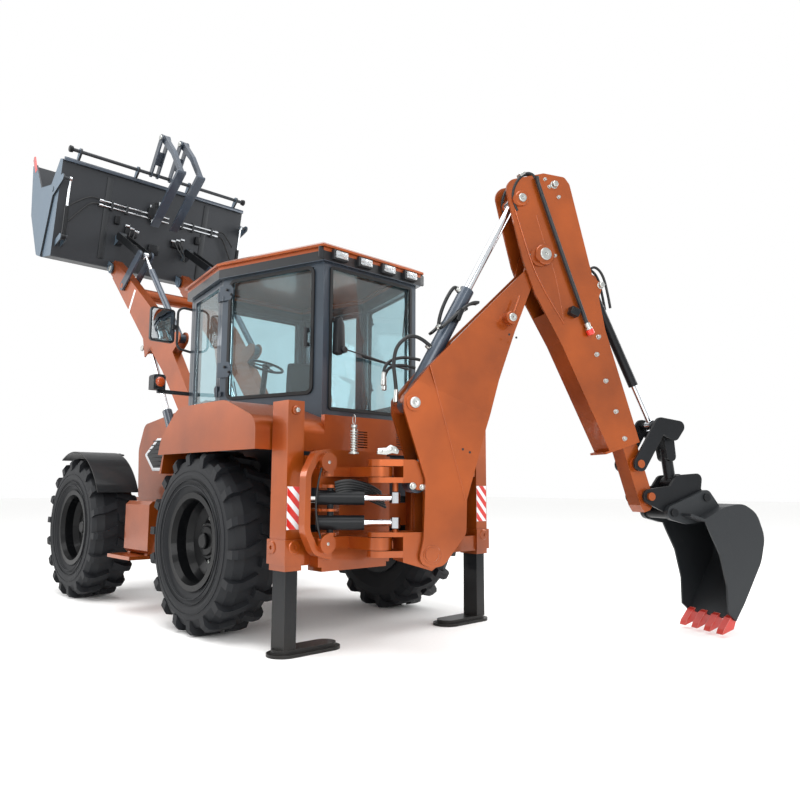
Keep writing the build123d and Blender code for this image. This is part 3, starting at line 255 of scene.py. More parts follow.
# Satin black on levers and legs has a thin coat, so it mirrors little and shows its dust.
black_enamel = enamel("black_enamel", "1A1C1F", "111315", "4A443C", 0.15, 0.42, 0.12, 0.08,
                      "66625C", 0.4, 0.5)
# The rims are a deeper black with barely any flake, which keeps them quiet inside the tyres.
wheel_enamel = enamel("wheel_enamel", "0B0C0E", "070809", "2E2A26", 0.1, 0.36, 0.10, 0.04,
                      "3A3C3F", 0.3, 0.4)
# Red paint on the teeth is new and glossy, and rubbed pale at every edge.
tooth_enamel = enamel("tooth_enamel", "D0271D", "A81A14", "8A6A5A", 0.1, 0.35, 0.4, 0.06,
                      "C8B8A8", 0.8, 0.3)
# White enamel carries the stripes: clean, even and hardly worn.
white_enamel = enamel("white_enamel", "E4E6E8", "D0D3D6", "A79C8C", 0.1, 0.4, 0.4, 0.03,
                      "FFFFFF", 0.1, 0.3)


def repaint_above(material, height, colour):
    """Paints everything above a height in metres with another colour, to a masked edge."""
    shader = material.node_tree.nodes["Principled BSDF"]
    under = shader.inputs["Base Color"].links[0].from_socket
    place = add_node(material, "TexCoord").outputs["Object"]
    rise = add_node(material, "SeparateXYZ", {"Vector": place}).outputs["Z"]
    above = add_node(material, "Math", {0: rise, 1: height}, operation="GREATER_THAN")
    mixed = add_node(material, "MixRGB", {"Fac": above.outputs[0], "Color1": under,
                                          "Color2": linear(colour)}).outputs["Color"]
    connect(material, mixed, shader, "Base Color")


# The cab's top is banded: a dark strip over the windows and the roof's copper above it.
dark_strip_up, copper_strip_up = 2.785, 2.856
repaint_above(slate_enamel, dark_strip_up, "15171A")
repaint_above(slate_enamel, copper_strip_up, "8F400C")
print("enamels", len(bpy.data.materials))

# %% [markdown]
# A digging bucket works in soil, so its black paint is dull, scratched along the way it digs and
# bare at the lip. Stretched noise makes the scratches: the same grain, squeezed in one direction.

# %% Scraped bucket steel
def scraped_steel(name, colour, bare, flank_sheen=None):
    """Black satin paint that soil has dulled and scratched; the last argument colours a painted reflection
    on its two sides.
    """
    material, shader, place = new_finish(name)
    stretch = add_node(material, "Mapping", {"Vector": place, "Scale": (1.0, 1.0, 0.08)})
    # Real scratches are hairlines, too fine to show here, so their grain is drawn at 7 mm.
    scratch = add_node(material, "TexNoise", {"Vector": stretch.outputs["Vector"],
                                              "Scale": per_metre(7), "Detail": 8.0, "Roughness": 0.75})
    cut = add_node(material, "MapRange", {"Value": scratch.outputs["Fac"], "From Min": 0.60,
                                          "From Max": 0.70, "To Min": 0.0, "To Max": 0.5})
    patch = add_node(material, "TexNoise", {"Vector": place, "Scale": per_metre(260), "Detail": 5.0})
    where = add_node(material, "MapRange", {"Value": patch.outputs["Fac"], "From Min": 0.42,
                                            "From Max": 0.62})
    both = add_node(material, "Math", {0: cut.outputs["Result"], 1: where.outputs["Result"]},
                    operation="MULTIPLY")
    mixed = add_node(material, "MixRGB", {"Fac": both.outputs[0], "Color1": linear(colour),
                                          "Color2": linear(bare)}).outputs["Color"]
    # Faces that look sideways get a painted blue-grey reflection mixed into their colour.
    if flank_sheen:
        facing = add_node(material, "TexCoord").outputs["Normal"]
        across = add_node(material, "SeparateXYZ", {"Vector": facing}).outputs["Y"]
        sideways_on = add_node(material, "Math", {0: across}, operation="ABSOLUTE")
        flank = add_node(material, "MapRange", {"Value": sideways_on.outputs[0], "From Min": 0.88,
                                                "From Max": 0.93, "To Max": 0.85})
        mixed = add_node(material, "MixRGB", {"Fac": flank.outputs["Result"], "Color1": mixed,
                                              "Color2": linear(flank_sheen)}).outputs["Color"]
    connect(material, mixed, shader, "Base Color")
    sheen = add_node(material, "MapRange", {"Value": patch.outputs["Fac"], "To Min": 0.34,
                                            "To Max": 0.58})
    connect(material, sheen.outputs["Result"], shader, "Roughness")
    bump = add_node(material, "Bump", {"Height": scratch.outputs["Fac"], "Strength": 0.12,
                                       "Distance": 0.002})
    connect(material, bump.outputs["Normal"], shader, "Normal")
    shader.inputs["Metallic"].default_value = 0.35
    return material


# The digging bucket is near black all over; the loader bucket's two sides carry a painted blue-grey
# reflection.
bucket_steel = scraped_steel("bucket_steel", "232629", "5E5B55")
loader_steel = scraped_steel("loader_steel", "26292D", "5E5B55", "5A6B7A")
print("scraped steels", bucket_steel.name, loader_steel.name)

# %% [markdown]
# Hard chrome on a cylinder rod is ground and polished along its turns, so it is almost a mirror
# with a trace of fine rings. Zinc-plated pins and bolts are duller and slightly mottled. A metal
# keeps the usual index of refraction, and its colour lies in the reflection itself.

# %% Chrome and zinc
def bare_metal(name, colour, roughness, spread, grain, stretch, strength):
    """An unpainted metal; its grain is in millimetres and stretch squeezes it along each axis."""
    material, shader, place = new_finish(name)
    mapped = add_node(material, "Mapping", {"Vector": place, "Scale": stretch})
    # Grinding marks and plating spots are finer than a millimetre, so the grain is drawn coarser.
    noise = add_node(material, "TexNoise", {"Vector": mapped.outputs["Vector"],
                                            "Scale": per_metre(grain), "Detail": 4.0})
    dull = add_node(material, "MapRange", {"Value": noise.outputs["Fac"], "From Min": 0.3,
                                           "From Max": 0.7, "To Min": roughness,
                                           "To Max": roughness + spread})
    connect(material, dull.outputs["Result"], shader, "Roughness")
    tint = add_node(material, "ValToRGB", {"Fac": noise.outputs["Fac"]})
    tint.color_ramp.elements[0].color = [0.8 * value for value in linear(colour)[:3]] + [1.0]
    tint.color_ramp.elements[1].color = linear(colour)
    connect(material, tint.outputs["Color"], shader, "Base Color")
    bump = add_node(material, "Bump", {"Height": noise.outputs["Fac"], "Strength": strength,
                                       "Distance": 0.001})
    connect(material, bump.outputs["Normal"], shader, "Normal")
    shader.inputs["Metallic"].default_value = 1.0
    return material


# Ground chrome is an almost clean mirror; dull zinc spreads the same light over each bolt's head.
hard_chrome = bare_metal("hard_chrome", "D5D9DD", 0.08, 0.07, 4, (1.0, 1.0, 1.0), 0.02)
zinc_plate = bare_metal("zinc_plate", "B9BBB8", 0.24, 0.16, 6, (1.0, 1.0, 1.0), 0.08)
print("bare metals", hard_chrome.name, zinc_plate.name)

# %% [markdown]
# Tyre rubber is black but never looks black: carbon rubber scatters a soft grey sheen, and the
# treads hold dry soil. A broad noise says where the dust lies, and a fine one gives the pores.

# %% Rubber, plastic and vinyl
def rubber(name, colour, dust, roughness, grain, dusty):
    """Moulded black rubber or plastic with a fine matt grain and some dry dust."""
    material, shader, place = new_finish(name)
    cloud = add_node(material, "TexNoise", {"Vector": place, "Scale": per_metre(120), "Detail": 8.0,
                                            "Roughness": 0.65})
    amount = add_node(material, "MapRange", {"Value": cloud.outputs["Fac"], "From Min": 0.45,
                                             "From Max": 0.75, "To Min": 0.0, "To Max": dusty})
    mixed = add_node(material, "MixRGB", {"Fac": amount.outputs["Result"], "Color1": linear(colour),
                                          "Color2": linear(dust)}).outputs["Color"]
    connect(material, mixed, shader, "Base Color")
    # Moulded pores are finer than a millimetre, so they are drawn at 3 to 6 mm to show at all.
    pores = add_node(material, "TexNoise", {"Vector": place, "Scale": per_metre(grain), "Detail": 3.0})
    bump = add_node(material, "Bump", {"Height": pores.outputs["Fac"], "Strength": 0.25,
                                       "Distance": 0.002})
    connect(material, bump.outputs["Normal"], shader, "Normal")
    dull = add_node(material, "MapRange", {"Value": cloud.outputs["Fac"], "To Min": roughness - 0.08,
                                           "To Max": roughness + 0.12})
    connect(material, dull.outputs["Result"], shader, "Roughness")
    shader.inputs["IOR"].default_value = 1.52
    shader.inputs["Specular IOR Level"].default_value = 0.3
    return material


# Tyre rubber is the dullest, hoses and mouldings are smoother, and vinyl has a stitched, leathery matt.
tyre_rubber = rubber("tyre_rubber", "0B0E13", "2A2927", 0.62, 6, 0.18)
hose_rubber = rubber("hose_rubber", "16181A", "4A4742", 0.45, 3, 0.2)
moulded_black = rubber("moulded_black", "1B1D20", "4C4A46", 0.40, 4, 0.12)
seal_rubber = rubber("seal_rubber", "101113", "3C3A37", 0.55, 3, 0.1)
seat_vinyl = rubber("seat_vinyl", "23262B", "4A4A4A", 0.55, 5, 0.15)
print("rubbers and plastics", tyre_rubber.name, hose_rubber.name, moulded_black.name, seal_rubber.name)

# %% [markdown]
# Cab glass is laminated and faintly green-blue. Real glass of a few millimetres barely tints what
# is behind it, but it mirrors the sky strongly at a glancing angle, which the refraction index of
# 1.5 gives by itself. Lamp lenses are the same idea with ribs moulded in.

# %% Glass and lenses
def clear_sheet(name, tint, roughness, ribs, clearness):
    """Transparent sheet or lens; moulded ribs repeat every tau times ribs in millimetres, or never at 0."""
    material, shader, place = new_finish(name)
    haze = add_node(material, "TexNoise", {"Vector": place, "Scale": per_metre(180), "Detail": 3.0})
    dull = add_node(material, "MapRange", {"Value": haze.outputs["Fac"], "To Min": roughness,
                                           "To Max": roughness + 0.03})
    connect(material, dull.outputs["Result"], shader, "Roughness")
    shade = add_node(material, "ValToRGB", {"Fac": haze.outputs["Fac"]})
    shade.color_ramp.elements[0].color = [0.92 * value for value in linear(tint)[:3]] + [1.0]
    shade.color_ramp.elements[1].color = linear(tint)
    connect(material, shade.outputs["Color"], shader, "Base Color")
    if ribs:
        phase_per_unit = 20
        wave = add_node(material, "TexWave", {"Vector": place, "Scale": per_metre(ribs) / phase_per_unit})
        bump = add_node(material, "Bump", {"Height": wave.outputs["Fac"], "Strength": 0.5,
                                           "Distance": 0.003})
        connect(material, bump.outputs["Normal"], shader, "Normal")
    shader.inputs["Transmission Weight"].default_value = clearness
    shader.inputs["IOR"].default_value = 1.5
    return material


# Laminated glass is smooth and clear, lamp lenses are moulded polycarbonate, and a mirror is silvered.
cab_glass = clear_sheet("cab_glass", "D4EBF0", 0.0, 0, 0.98)
lamp_lens = clear_sheet("lamp_lens", "EEF2F4", 0.05, 9, 0.75)
amber_lens = clear_sheet("amber_lens", "D2551A", 0.08, 7, 0.45)
mirror_glass = bare_metal("mirror_glass", "C9CDD0", 0.02, 0.02, 90, (1.0, 1.0, 1.0), 0.0)
print("materials", len(bpy.data.materials))

# %% [markdown]
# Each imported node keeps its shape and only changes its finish. A table names the nodes that one
# spray gun or one plating bath would treat together.

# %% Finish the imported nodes
finishes = {
    copper_enamel: ["frame", "carriage", "swing_post", "boom", "dipper", "dipper_extension",
                    "stabiliser_tubes", "rear_wings", "bonnet", "loader_arms", "cab_roof",
                    "side_tanks"],
    slate_enamel: ["cab_shell", "door_left", "door_right"],
    cylinder_enamel: ["boom_barrel", "dipper_barrel", "lift_barrels", "tilt_barrels", "tilt_levers",
                      "fork_carriers", "pallet_forks"],
    black_enamel: ["axles", "engine", "knuckle_left", "knuckle_right", "stabiliser_leg_left",
                   "stabiliser_leg_right", "swing_barrels", "bucket_barrel", "clam_barrels",
                   "tipping_lever", "tipping_link", "quick_hitch", "tilt_links"],
    wheel_enamel: ["rim_front_left", "rim_front_right", "rim_rear_left", "rim_rear_right"],
    bucket_steel: ["digging_bucket"],
    loader_steel: ["loader_bucket", "bucket_clam"],
    tooth_enamel: ["bucket_teeth"],
    hard_chrome: ["boom_rod", "dipper_rod", "bucket_rod", "swing_rods", "lift_rods", "tilt_rods",
                  "clam_rods"],
    tyre_rubber: ["tyre_front_left", "tyre_front_right", "tyre_rear_left", "tyre_rear_right"],
    moulded_black: ["mirrors", "driver_station", "work_lamps"],
    cab_glass: ["cab_glass", "door_glass_left", "door_glass_right"],
}
for finish, names in finishes.items():
    for name in names:
        nodes[name].data.materials.clear()
        nodes[name].data.materials.append(finish)
unpainted = set(nodes) - {name for names in finishes.values() for name in names}
print("nodes without a finish:", sorted(unpainted))


# %% [markdown]
# The workshop's small parts come next. Most are turned, cut from plate or bent from pipe, so three
# helpers draw them: a profile spun round an axis, an outline given a thickness, and a round line
# through points. Corners are plain lists, which makes every size readable.

# %% Turned and cut shapes
def square_to(along):
    """Three directions square to each other, of which the first is along the given one."""
    along = Vector(along).normalized()
    spare = UP if abs(along.z) < 0.9 else Vector((1, 0, 0))
    first = along.cross(spare).normalized()
    return along, first, along.cross(first)


def turned(start, along, profile, sides=28):
    """A turned shape; its profile lists (distance along the axis, radius) in millimetres."""
    along, first, second = square_to(along)
    corners, faces = [], []
    for distance, radius in profile:
        for index in range(sides):
            angle = math.tau * index / sides
            spoke = first * math.cos(angle) + second * math.sin(angle)
            corners.append(start + (along * distance + spoke * radius) / 1000)
    for ring in range(len(profile) - 1):
        for index in range(sides):
            here, beside = ring * sides + index, ring * sides + (index + 1) % sides
            faces.append((here, beside, beside + sides, here + sides))
    last = (len(profile) - 1) * sides
    faces.append(tuple(reversed(range(sides))))
    faces.append(tuple(range(last, last + sides)))
    return corners, faces


def slab(outline, thick):
    """A plate: its outline's corners in metres, and its thickness as a vector in millimetres."""
    count = len(outline)
    corners = [Vector(corner) for corner in outline]
    corners += [corner + Vector(thick) / 1000 for corner in corners]
    faces = [tuple(range(count)), tuple(range(2 * count - 1, count - 1, -1))]
    for index in range(count):
        after = (index + 1) % count
        faces.append((index, after, count + after, count + index))
    return corners, faces


def bolt(place, along, size):
    """A hexagon bolt head on its washer; size is the distance across the head's flats."""
    washer = turned(place, along, [(-2, size * 0.68), (2, size * 0.68), (3, size * 0.63)])
    corner = size / math.sqrt(3)
    head = turned(place, along, [(2, corner), (size * 0.6, corner), (size * 0.7, corner * 0.82)], 6)
    return [washer, head]


def pin_head(place, along, radius, height):
    """A turned pin's end: a chamfered disc with a grease hole in its middle."""
    profile = [(-4, radius), (height - 4, radius), (height, radius - 4), (height, radius * 0.24),
               (height - 9, radius * 0.20)]
    return [turned(place, along, profile, 36)]


print("faces of one bolt", sum(len(faces) for corners, faces in bolt(home, UP, 20)))

# %% [markdown]
# A piece of geometry only becomes part of the machine when it rides on one of its bodies. The
# joining step also rounds the sharp edges, because an edge without any rounding catches no light.

# %% Pieces that ride on the machine
crease = math.radians(32)
print("edges are rounded where they turn by more than", round(math.degrees(crease)), "degrees")


def settle(piece, body):
    """Puts a piece into the scene and onto a body of the machine."""
    bpy.context.scene.collection.objects.link(piece)
    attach(piece, body)
    return piece


def add_mesh(name, body, finish, shapes, bevel=0.0):
    """Joins shapes into one piece; bevel rounds its sharp edges by so many millimetres."""
    kit = bmesh.new()
    for corners, faces in shapes:
        made = [kit.verts.new(corner) for corner in corners]
        for face in faces:
            kit.faces.new([made[index] for index in face])
    bmesh.ops.recalc_face_normals(kit, faces=kit.faces)
    if bevel:
        sharp = [edge for edge in kit.edges if edge.calc_face_angle(0) > crease]
        bmesh.ops.bevel(kit, geom=sharp, offset=bevel / 1000, segments=2, profile=0.5, affect="EDGES")
    for face in kit.faces:
        face.smooth = True
    for edge in kit.edges:
        edge.smooth = edge.calc_face_angle(0) < crease
    mesh = bpy.data.meshes.new(name)
    kit.to_mesh(mesh)
    kit.free()
    mesh.materials.append(finish)
    return settle(bpy.data.objects.new(name, mesh), body)


def add_pipe(name, body, finish, runs, diameter):
    """Round pipes or hoses of one diameter; each run lists the points that it passes."""
    data = bpy.data.curves.new(name, "CURVE")
    data.dimensions = "3D"
    data.bevel_depth = diameter / 2000
    data.bevel_resolution = 4
    data.resolution_u = 8
    data.use_fill_caps = True
    for places in runs:
        line = data.splines.new("NURBS")
        line.points.add(len(places) - 1)
        for point, place in zip(line.points, places):
            point.co = (*place, 1)
        line.order_u = 3
        line.use_endpoint_u = True
    data.materials.append(finish)
    return settle(bpy.data.objects.new(name, data), body)


# %% [markdown]
# Window seals and hinge plates have rounded corners. An outline's corner is rounded by stepping
# from one tangent point to the other round the corner's centre.

# %% Rounded outlines and flat frames
def rounded(corners, radius, steps=6):
    """A flat outline with its corners rounded by a radius in millimetres."""
    outline = []
    for index, corner in enumerate(corners):
        before = (corners[index - 1] - corner).normalized()
        after = (corners[(index + 1) % len(corners)] - corner).normalized()
        half = before.angle(after) / 2
        reach = radius / 1000 / math.tan(half)
        centre = corner + (before + after).normalized() * (radius / 1000 / math.sin(half))
        start, end = corner + before * reach, corner + after * reach
        for step in range(steps + 1):
            towards = start.lerp(end, step / steps) - centre
            outline.append(centre + towards.normalized() * (radius / 1000))
    return outline


def inset(corners, amount):
    """A flat outline's corners moved inwards by so many millimetres."""
    moved = []
    for index, corner in enumerate(corners):
        before = (corners[index - 1] - corner).normalized()
        after = (corners[(index + 1) % len(corners)] - corner).normalized()
        slant = math.sin(before.angle(after) / 2)
        moved.append(corner + (before + after).normalized() * (amount / 1000 / slant))
    return moved


def flat_frame(corners, width, thick, radius):
    """A frame round a window: a rounded plate with a smaller rounded hole."""
    rims = [rounded(corners, radius), rounded(inset(corners, width), max(radius - width, 5))]
    count = len(rims[0])
    lift = Vector(thick) / 1000
    points = rims[0] + rims[1] + [p + lift for p in rims[0]] + [p + lift for p in rims[1]]
    faces = []
    for index in range(count):
        after = (index + 1) % count
        for low, high in ((0, count), (2 * count, 3 * count), (0, 2 * count), (count, 3 * count)):
            faces.append((low + index, low + after, high + after, high + index))
    return points, faces


square = [home + Vector(corner) for corner in ((0, 0, 0), (1, 0, 0), (1, 1, 0), (0, 1, 0))]
print("points of a rounded square", len(rounded(square, 50)))

# %% [markdown]
# Every joint of the digging arm turns on a hardened pin, and its end shows as a silver disc with a
# grease hole, in a thick collar of the arm's own steel. A short bar welded beside the pin keeps it
# from turning. The pins are the first thing the eye finds on the broad plates of the arm.

# %% Pins of the boom
near_side = sideways


def arm_rows(places, side):
    """Points of the arm's plane at one distance from its middle."""
    return [on_arm(out, side, up) for out, up in places]


boom_face = 142
add_mesh("boom_foot_pin", "boom", zinc_plate,
         pin_head(on_arm(318, boom_face, 645), near_side, 43, 11), 1.2)
add_mesh("boom_foot_collar", "boom", copper_enamel,
         [turned(on_arm(318, boom_face, 645), near_side, [(-4, 62), (4, 62), (7, 58)], 36)])
add_mesh("boom_ram_pin", "boom", zinc_plate,
         pin_head(on_arm(193, boom_face + 12, 1637), near_side, 37, 12), 1.0)
add_mesh("boom_eye_collar", "boom", copper_enamel,
         [turned(on_arm(923, boom_face - 2, 2271), near_side, [(-8, 46), (8, 46), (12, 42)], 36)])
add_mesh("boom_eye_pin", "boom", zinc_plate,
         pin_head(on_arm(923, boom_face + 10, 2271), near_side, 30, 9), 1.0)
key_ends = on_arm(938, boom_face - 2, 2312), on_arm(985, boom_face - 2, 2432)
add_pipe("boom_pin_key", "boom", copper_enamel, [key_ends], 18)
tapped_holes = ((538, 1336), (589, 1317), (897, 2147), (952, 2129))
# The holes' dark insides are painted shade: a black disc sits on the plate at each hole.
add_mesh("boom_hole_painted_shade", "boom", moulded_black,
         [turned(on_arm(out, boom_face - 1, up), near_side, [(0, 8), (2.4, 8), (2.6, 6), (1.4, 5)], 20)
          for out, up in tapped_holes])
print("boom holes", len(tapped_holes))

# %% [markdown]
# The boom's side plate is folded along a line from the ram's pin down to the foot, and the fold is
# welded. A weld bead on painted steel is a low round ridge that breaks the light.

# %% Weld seams of the boom and the dipper
add_pipe("boom_weld", "boom", copper_enamel,
         [arm_rows([(304, 1894), (555, 997)], boom_face)], 11)
dipper_face = 98
bead = [(981, 3083), (1023, 2950), (1113, 2686), (1182, 2547), (1290, 2381), (1368, 2271)]
fold = [(1155, 3065), (1215, 2856), (1298, 2662), (1341, 2438), (1364, 2299)]
add_pipe("dipper_weld", "dipper", copper_enamel, [arm_rows(bead, dipper_face)], 15)
add_pipe("dipper_fold", "dipper", copper_enamel, [arm_rows(fold, dipper_face - 1)], 6)
print("points on the dipper's seams", len(bead) + len(fold))

# %% [markdown]
# The dipper carries the largest pin of all, where it turns on the boom. Two ears of its collar are
# held by small bolts. Lower down, a row of bolts sets the wear pads on which the inner dipper
# slides out.

# %% Pins and bolts of the dipper
for name, (out, up), collar, pin, proud in (
        ("dipper_main", (1207, 2768), 76, 46, 26), ("dipper_tail", (1032, 3175), 54, 32, 15)):
    add_mesh(name + "_collar", "dipper", copper_enamel,
             [turned(on_arm(out, dipper_face, up), near_side,
                     [(-4, collar), (proud, collar), (proud + 5, collar - 6)], 40)])
    add_mesh(name + "_pin", "dipper", zinc_plate,
             pin_head(on_arm(out, dipper_face + proud + 2, up), near_side, pin, 16), 1.2)
ears = [bolt(on_arm(1207 + 98 * way, dipper_face, 2768 + 8 * way), near_side, 20) for way in (-1, 1)]
top_bolts = [bolt(on_arm(out, dipper_face, up), near_side, size)
             for out, up, size in ((1309, 3321, 44), (1232, 3352, 20), (1268, 3300, 22),
                                   (1345, 3230, 22), (1687, 2588, 40))]
pad_bolts = [bolt(on_arm(out, dipper_face, up), near_side, 27)
             for out, up in ((1654, 2193), (1635, 2060), (1706, 1866), (1785, 1642), (1853, 1444))]
add_mesh("dipper_bolts", "dipper", zinc_plate,
         [shape for group in ears + top_bolts + pad_bolts for shape in group], 0.8)
print("dipper bolts", len(ears + top_bolts + pad_bolts))

# %% [markdown]
# A steel pipe runs down the dipper's near side to a tool coupling with a red dust cap. It is black
# like the clamp that holds it, and three rubber hoses lead over the top of the arm beside it.

# %% Pipe, clamp and hoses of the dipper
pipe_gap = dipper_face + 26
add_pipe("dipper_pipe", "dipper", moulded_black,
         [arm_rows([(1150, 3352), (1154, 3316), (1172, 3262), (1415, 2606), (1546, 2268)], pipe_gap)], 30)
start, end = on_arm(1540, pipe_gap, 2284), on_arm(1578, pipe_gap, 2200)
add_mesh("dipper_coupling", "dipper", zinc_plate,
         [turned(start, end - start, [(0, 18), (6, 22), (34, 22), (38, 26), (50, 26), (54, 22)], 24)])
add_mesh("dipper_dust_cap", "dipper", tooth_enamel,
         [turned(start, end - start, [(52, 24), (56, 28), (88, 28), (94, 22)], 24)])
clamp = [(1412, 2400), (1482, 2374), (1462, 2318), (1392, 2344)]
add_mesh("dipper_clamp", "dipper", black_enamel,
         [slab(rounded(arm_rows(clamp, dipper_face - 2), 8), near_side * 52)]
         + bolt(on_arm(1415, dipper_face + 50, 2372), near_side, 17), 2.0)
hose_sides = (-72, 71, 95)
add_pipe("dipper_top_hoses", "dipper", hose_rubber,
         [arm_rows([(1000, 3080), (962, 3150), (968, 3240), (1014, 3328), (1080, 3384), (1145, 3375),
                    (1152, 3340)], side) for side in hose_sides], 22)
ferrules = []
for side in hose_sides:
    ferrule = on_arm(1024, side, 3352)
    ferrules.append(turned(ferrule, on_arm(1080, side, 3392) - ferrule,
                           [(0, 13), (4, 16), (46, 16), (50, 13)], 20))
add_mesh("dipper_ferrules", "dipper", zinc_plate, ferrules)
print("dipper hoses", len(hose_sides))

# %% [markdown]
# The boom's own hoses lie in two bundles on its back, one by each side plate, and each cylinder has
# hoses to its ends. A real hose bends in one broad curve, so a few points on a smooth curve
# describe it.

# %% Hoses of the boom
add_pipe("boom_hoses", "boom", hose_rubber,
         [arm_rows([(400, 2166), (470, 2228), (560, 2312), (634, 2366), (676, 2362)], side)
          for side in (-122, -98, -74, 74, 98, 122)], 21)
strap = [(500, 2229), (526, 2212), (560, 2296), (534, 2313)]
add_mesh("boom_hose_strap", "boom", black_enamel,
         [slab(rounded(arm_rows(strap, side), 8), near_side * 74) for side in (-136, 62)], 2.0)
barrel_foot, barrel_way = Vector((190, 1637)), Vector((0.472, 0.882))


def on_barrel(along, away, side=0):
    """A point by the dipper's cylinder: so far up its barrel and so far away from its axis."""
    place = barrel_foot + barrel_way * along + Vector((-barrel_way.y, barrel_way.x)) * away
    return on_arm(place.x, side, place.y)


add_pipe("dipper_ram_hoses", "dipper_barrel", hose_rubber,
         [[on_barrel(t, n, -18) for t, n in ((920, 50), (944, 82), (890, 100), (760, 98), (640, 74),
                                             (600, 50))],
          [on_barrel(t, n, 20) for t, n in ((440, 50), (470, 190), (330, 265), (200, 230), (90, 150),
                                            (40, 118))]], 26)
add_pipe("dipper_ram_hoses_low", "dipper_barrel", hose_rubber,
         [[on_barrel(t, n, -24) for t, n in ((110, 240), (150, 262), (230, 236), (300, 150), (330, 60))],
          [on_barrel(t, n, -50) for t, n in ((90, 214), (140, 232), (200, 204), (250, 130), (270, 58))]],
         22)
ferrules = []
for t, n, side in ((110, 240, -24), (90, 214, -50), (40, 118, 20)):
    foot = on_barrel(t - 74, n - 36, side)
    ferrules.append(turned(foot, on_barrel(t, n, side) - foot,
                           [(0, 12), (4, 18), (36, 18), (40, 15), (86, 15), (92, 12)], 20))
for t in (600, 920, 440):
    ferrules.append(turned(on_barrel(t, 46), on_barrel(t, 60) - on_barrel(t, 46),
                           [(0, 24), (14, 24), (17, 19), (30, 19)], 20))
add_mesh("dipper_ram_fittings", "dipper_barrel", zinc_plate, ferrules)
add_pipe("bucket_ram_pipe", "bucket_barrel", hose_rubber,
         [arm_rows([(1560, 2600), (1640, 2765), (1752, 2720), (1800, 2520), (1812, 2440)], 34 * way)
          for way in (-1, 1)], 20)
print("cylinder fittings", len(ferrules))

# %% [markdown]
# The carriage that slides across the machine's back is clamped by black hydraulic caps, each with
# a plated nut. A silver pin on a spring locks the digging arm for the road, and a latch hook above
# the post holds the boom up.

# %% Carriage and post fittings
backwards = Vector((-1, 0, 0))
leftwards = Vector((0, 1, 0))
caps, cap_nuts = [], []
rim_face = -1225
for side, up in ((803, 1241), (803, 717)):
    caps.append(turned(at(rim_face + 4, side, up), backwards,
                       [(0, 60), (12, 60), (18, 52), (21, 36)], 40))
    cap_nuts += bolt(at(rim_face - 16, side, up), backwards, 24)
add_mesh("clamp_caps", "carriage", moulded_black, caps)
add_mesh("clamp_nuts", "carriage", zinc_plate, cap_nuts, 1.2)
add_pipe("clamp_hoses", "carriage", hose_rubber,
         [[at(rim_face - 10, 846, 1214), at(rim_face - 16, 880, 1130), at(rim_face - 16, 900, 980),
           at(rim_face - 16, 884, 830), at(rim_face - 10, 846, 744)]], 13)
spring_foot = on_arm(-180, 0, 1306)
spring_turns, spring_steps = 9, 10
coil = []
for step in range(spring_turns * spring_steps + 1):
    angle = math.tau * step / spring_steps
    coil.append(spring_foot + (outward * math.cos(angle) + sideways * math.sin(angle)) * 0.023
                + UP * 0.15 * step / (spring_turns * spring_steps))
add_pipe("lock_spring", "carriage", zinc_plate, [coil], 8)
add_mesh("lock_pin", "carriage", zinc_plate,
         [turned(spring_foot, UP, [(-10, 14), (158, 14), (166, 22), (180, 22), (184, 16)], 24),
          turned(spring_foot, UP, [(-8, 34), (0, 34), (3, 30)], 24)])
ring = [on_arm(-180, 34 * math.cos(math.tau * i / 12), 1524 + 34 * math.sin(math.tau * i / 12))
        for i in range(13)]
add_pipe("lock_ring", "carriage", zinc_plate, [ring], 5)
latch = [(-45, 1296), (-40, 1334), (16, 1338), (46, 1358), (82, 1344), (103, 1322), (95, 1298),
         (56, 1304), (16, 1292)]
add_mesh("latch_hook", "swing_post", zinc_plate,
         [slab(rounded(arm_rows(latch, 68), 5), near_side * 16),
          slab(rounded(arm_rows(latch, 88), 5), near_side * 8)]
         + [turned(on_arm(out, 64, up), near_side, [(0, 13), (32, 13), (36, 9)], 24)
            for out, up in ((-20, 1315), (46, 1331), (80, 1320))], 1.5)
post_bolts = bolt(on_arm(196, 106, 1090), near_side, 34) + bolt(on_arm(262, 106, 1082), near_side, 30)
add_mesh("post_bolts", "swing_post", zinc_plate, post_bolts, 1.0)
bundle = []
for index in range(7):
    high = 1118 - 17 * index
    bundle.append([at(-1236, 742 - 3 * index, high - 10), at(-1276, 690, high + 10),
                   at(-1306, 600 - 6 * index, high), at(-1330, 500, high - 26),
                   at(-1318, 410 - 8 * index, high - 70)])
add_pipe("swing_hoses", "carriage", hose_rubber, bundle, 19)
print("spring length", round((coil[-1] - coil[0]).length, 3))

# %% [markdown]
# Hazard stripes are red and white bands at 45 degrees on a thin plate. They are cut as real
# shapes: each band is a leaning strip trimmed to the plate, so its edge stays sharp at any size.

# %% Hazard stripes on the stabilisers
def clip_height(points, low, high):
    """Keeps the part of a flat outline between two heights."""
    for limit, sign in ((low, 1), (high, -1)):
        kept = []
        for index, (a, b) in enumerate(points):
            c, d = points[index - 1]
            inside, was_inside = (b - limit) * sign >= 0, (d - limit) * sign >= 0
            if inside != was_inside:
                share = (limit - d) / (b - d)
                kept.append((c + (a - c) * share, limit))
            if inside:
                kept.append((a, b))
        points = kept
    return points


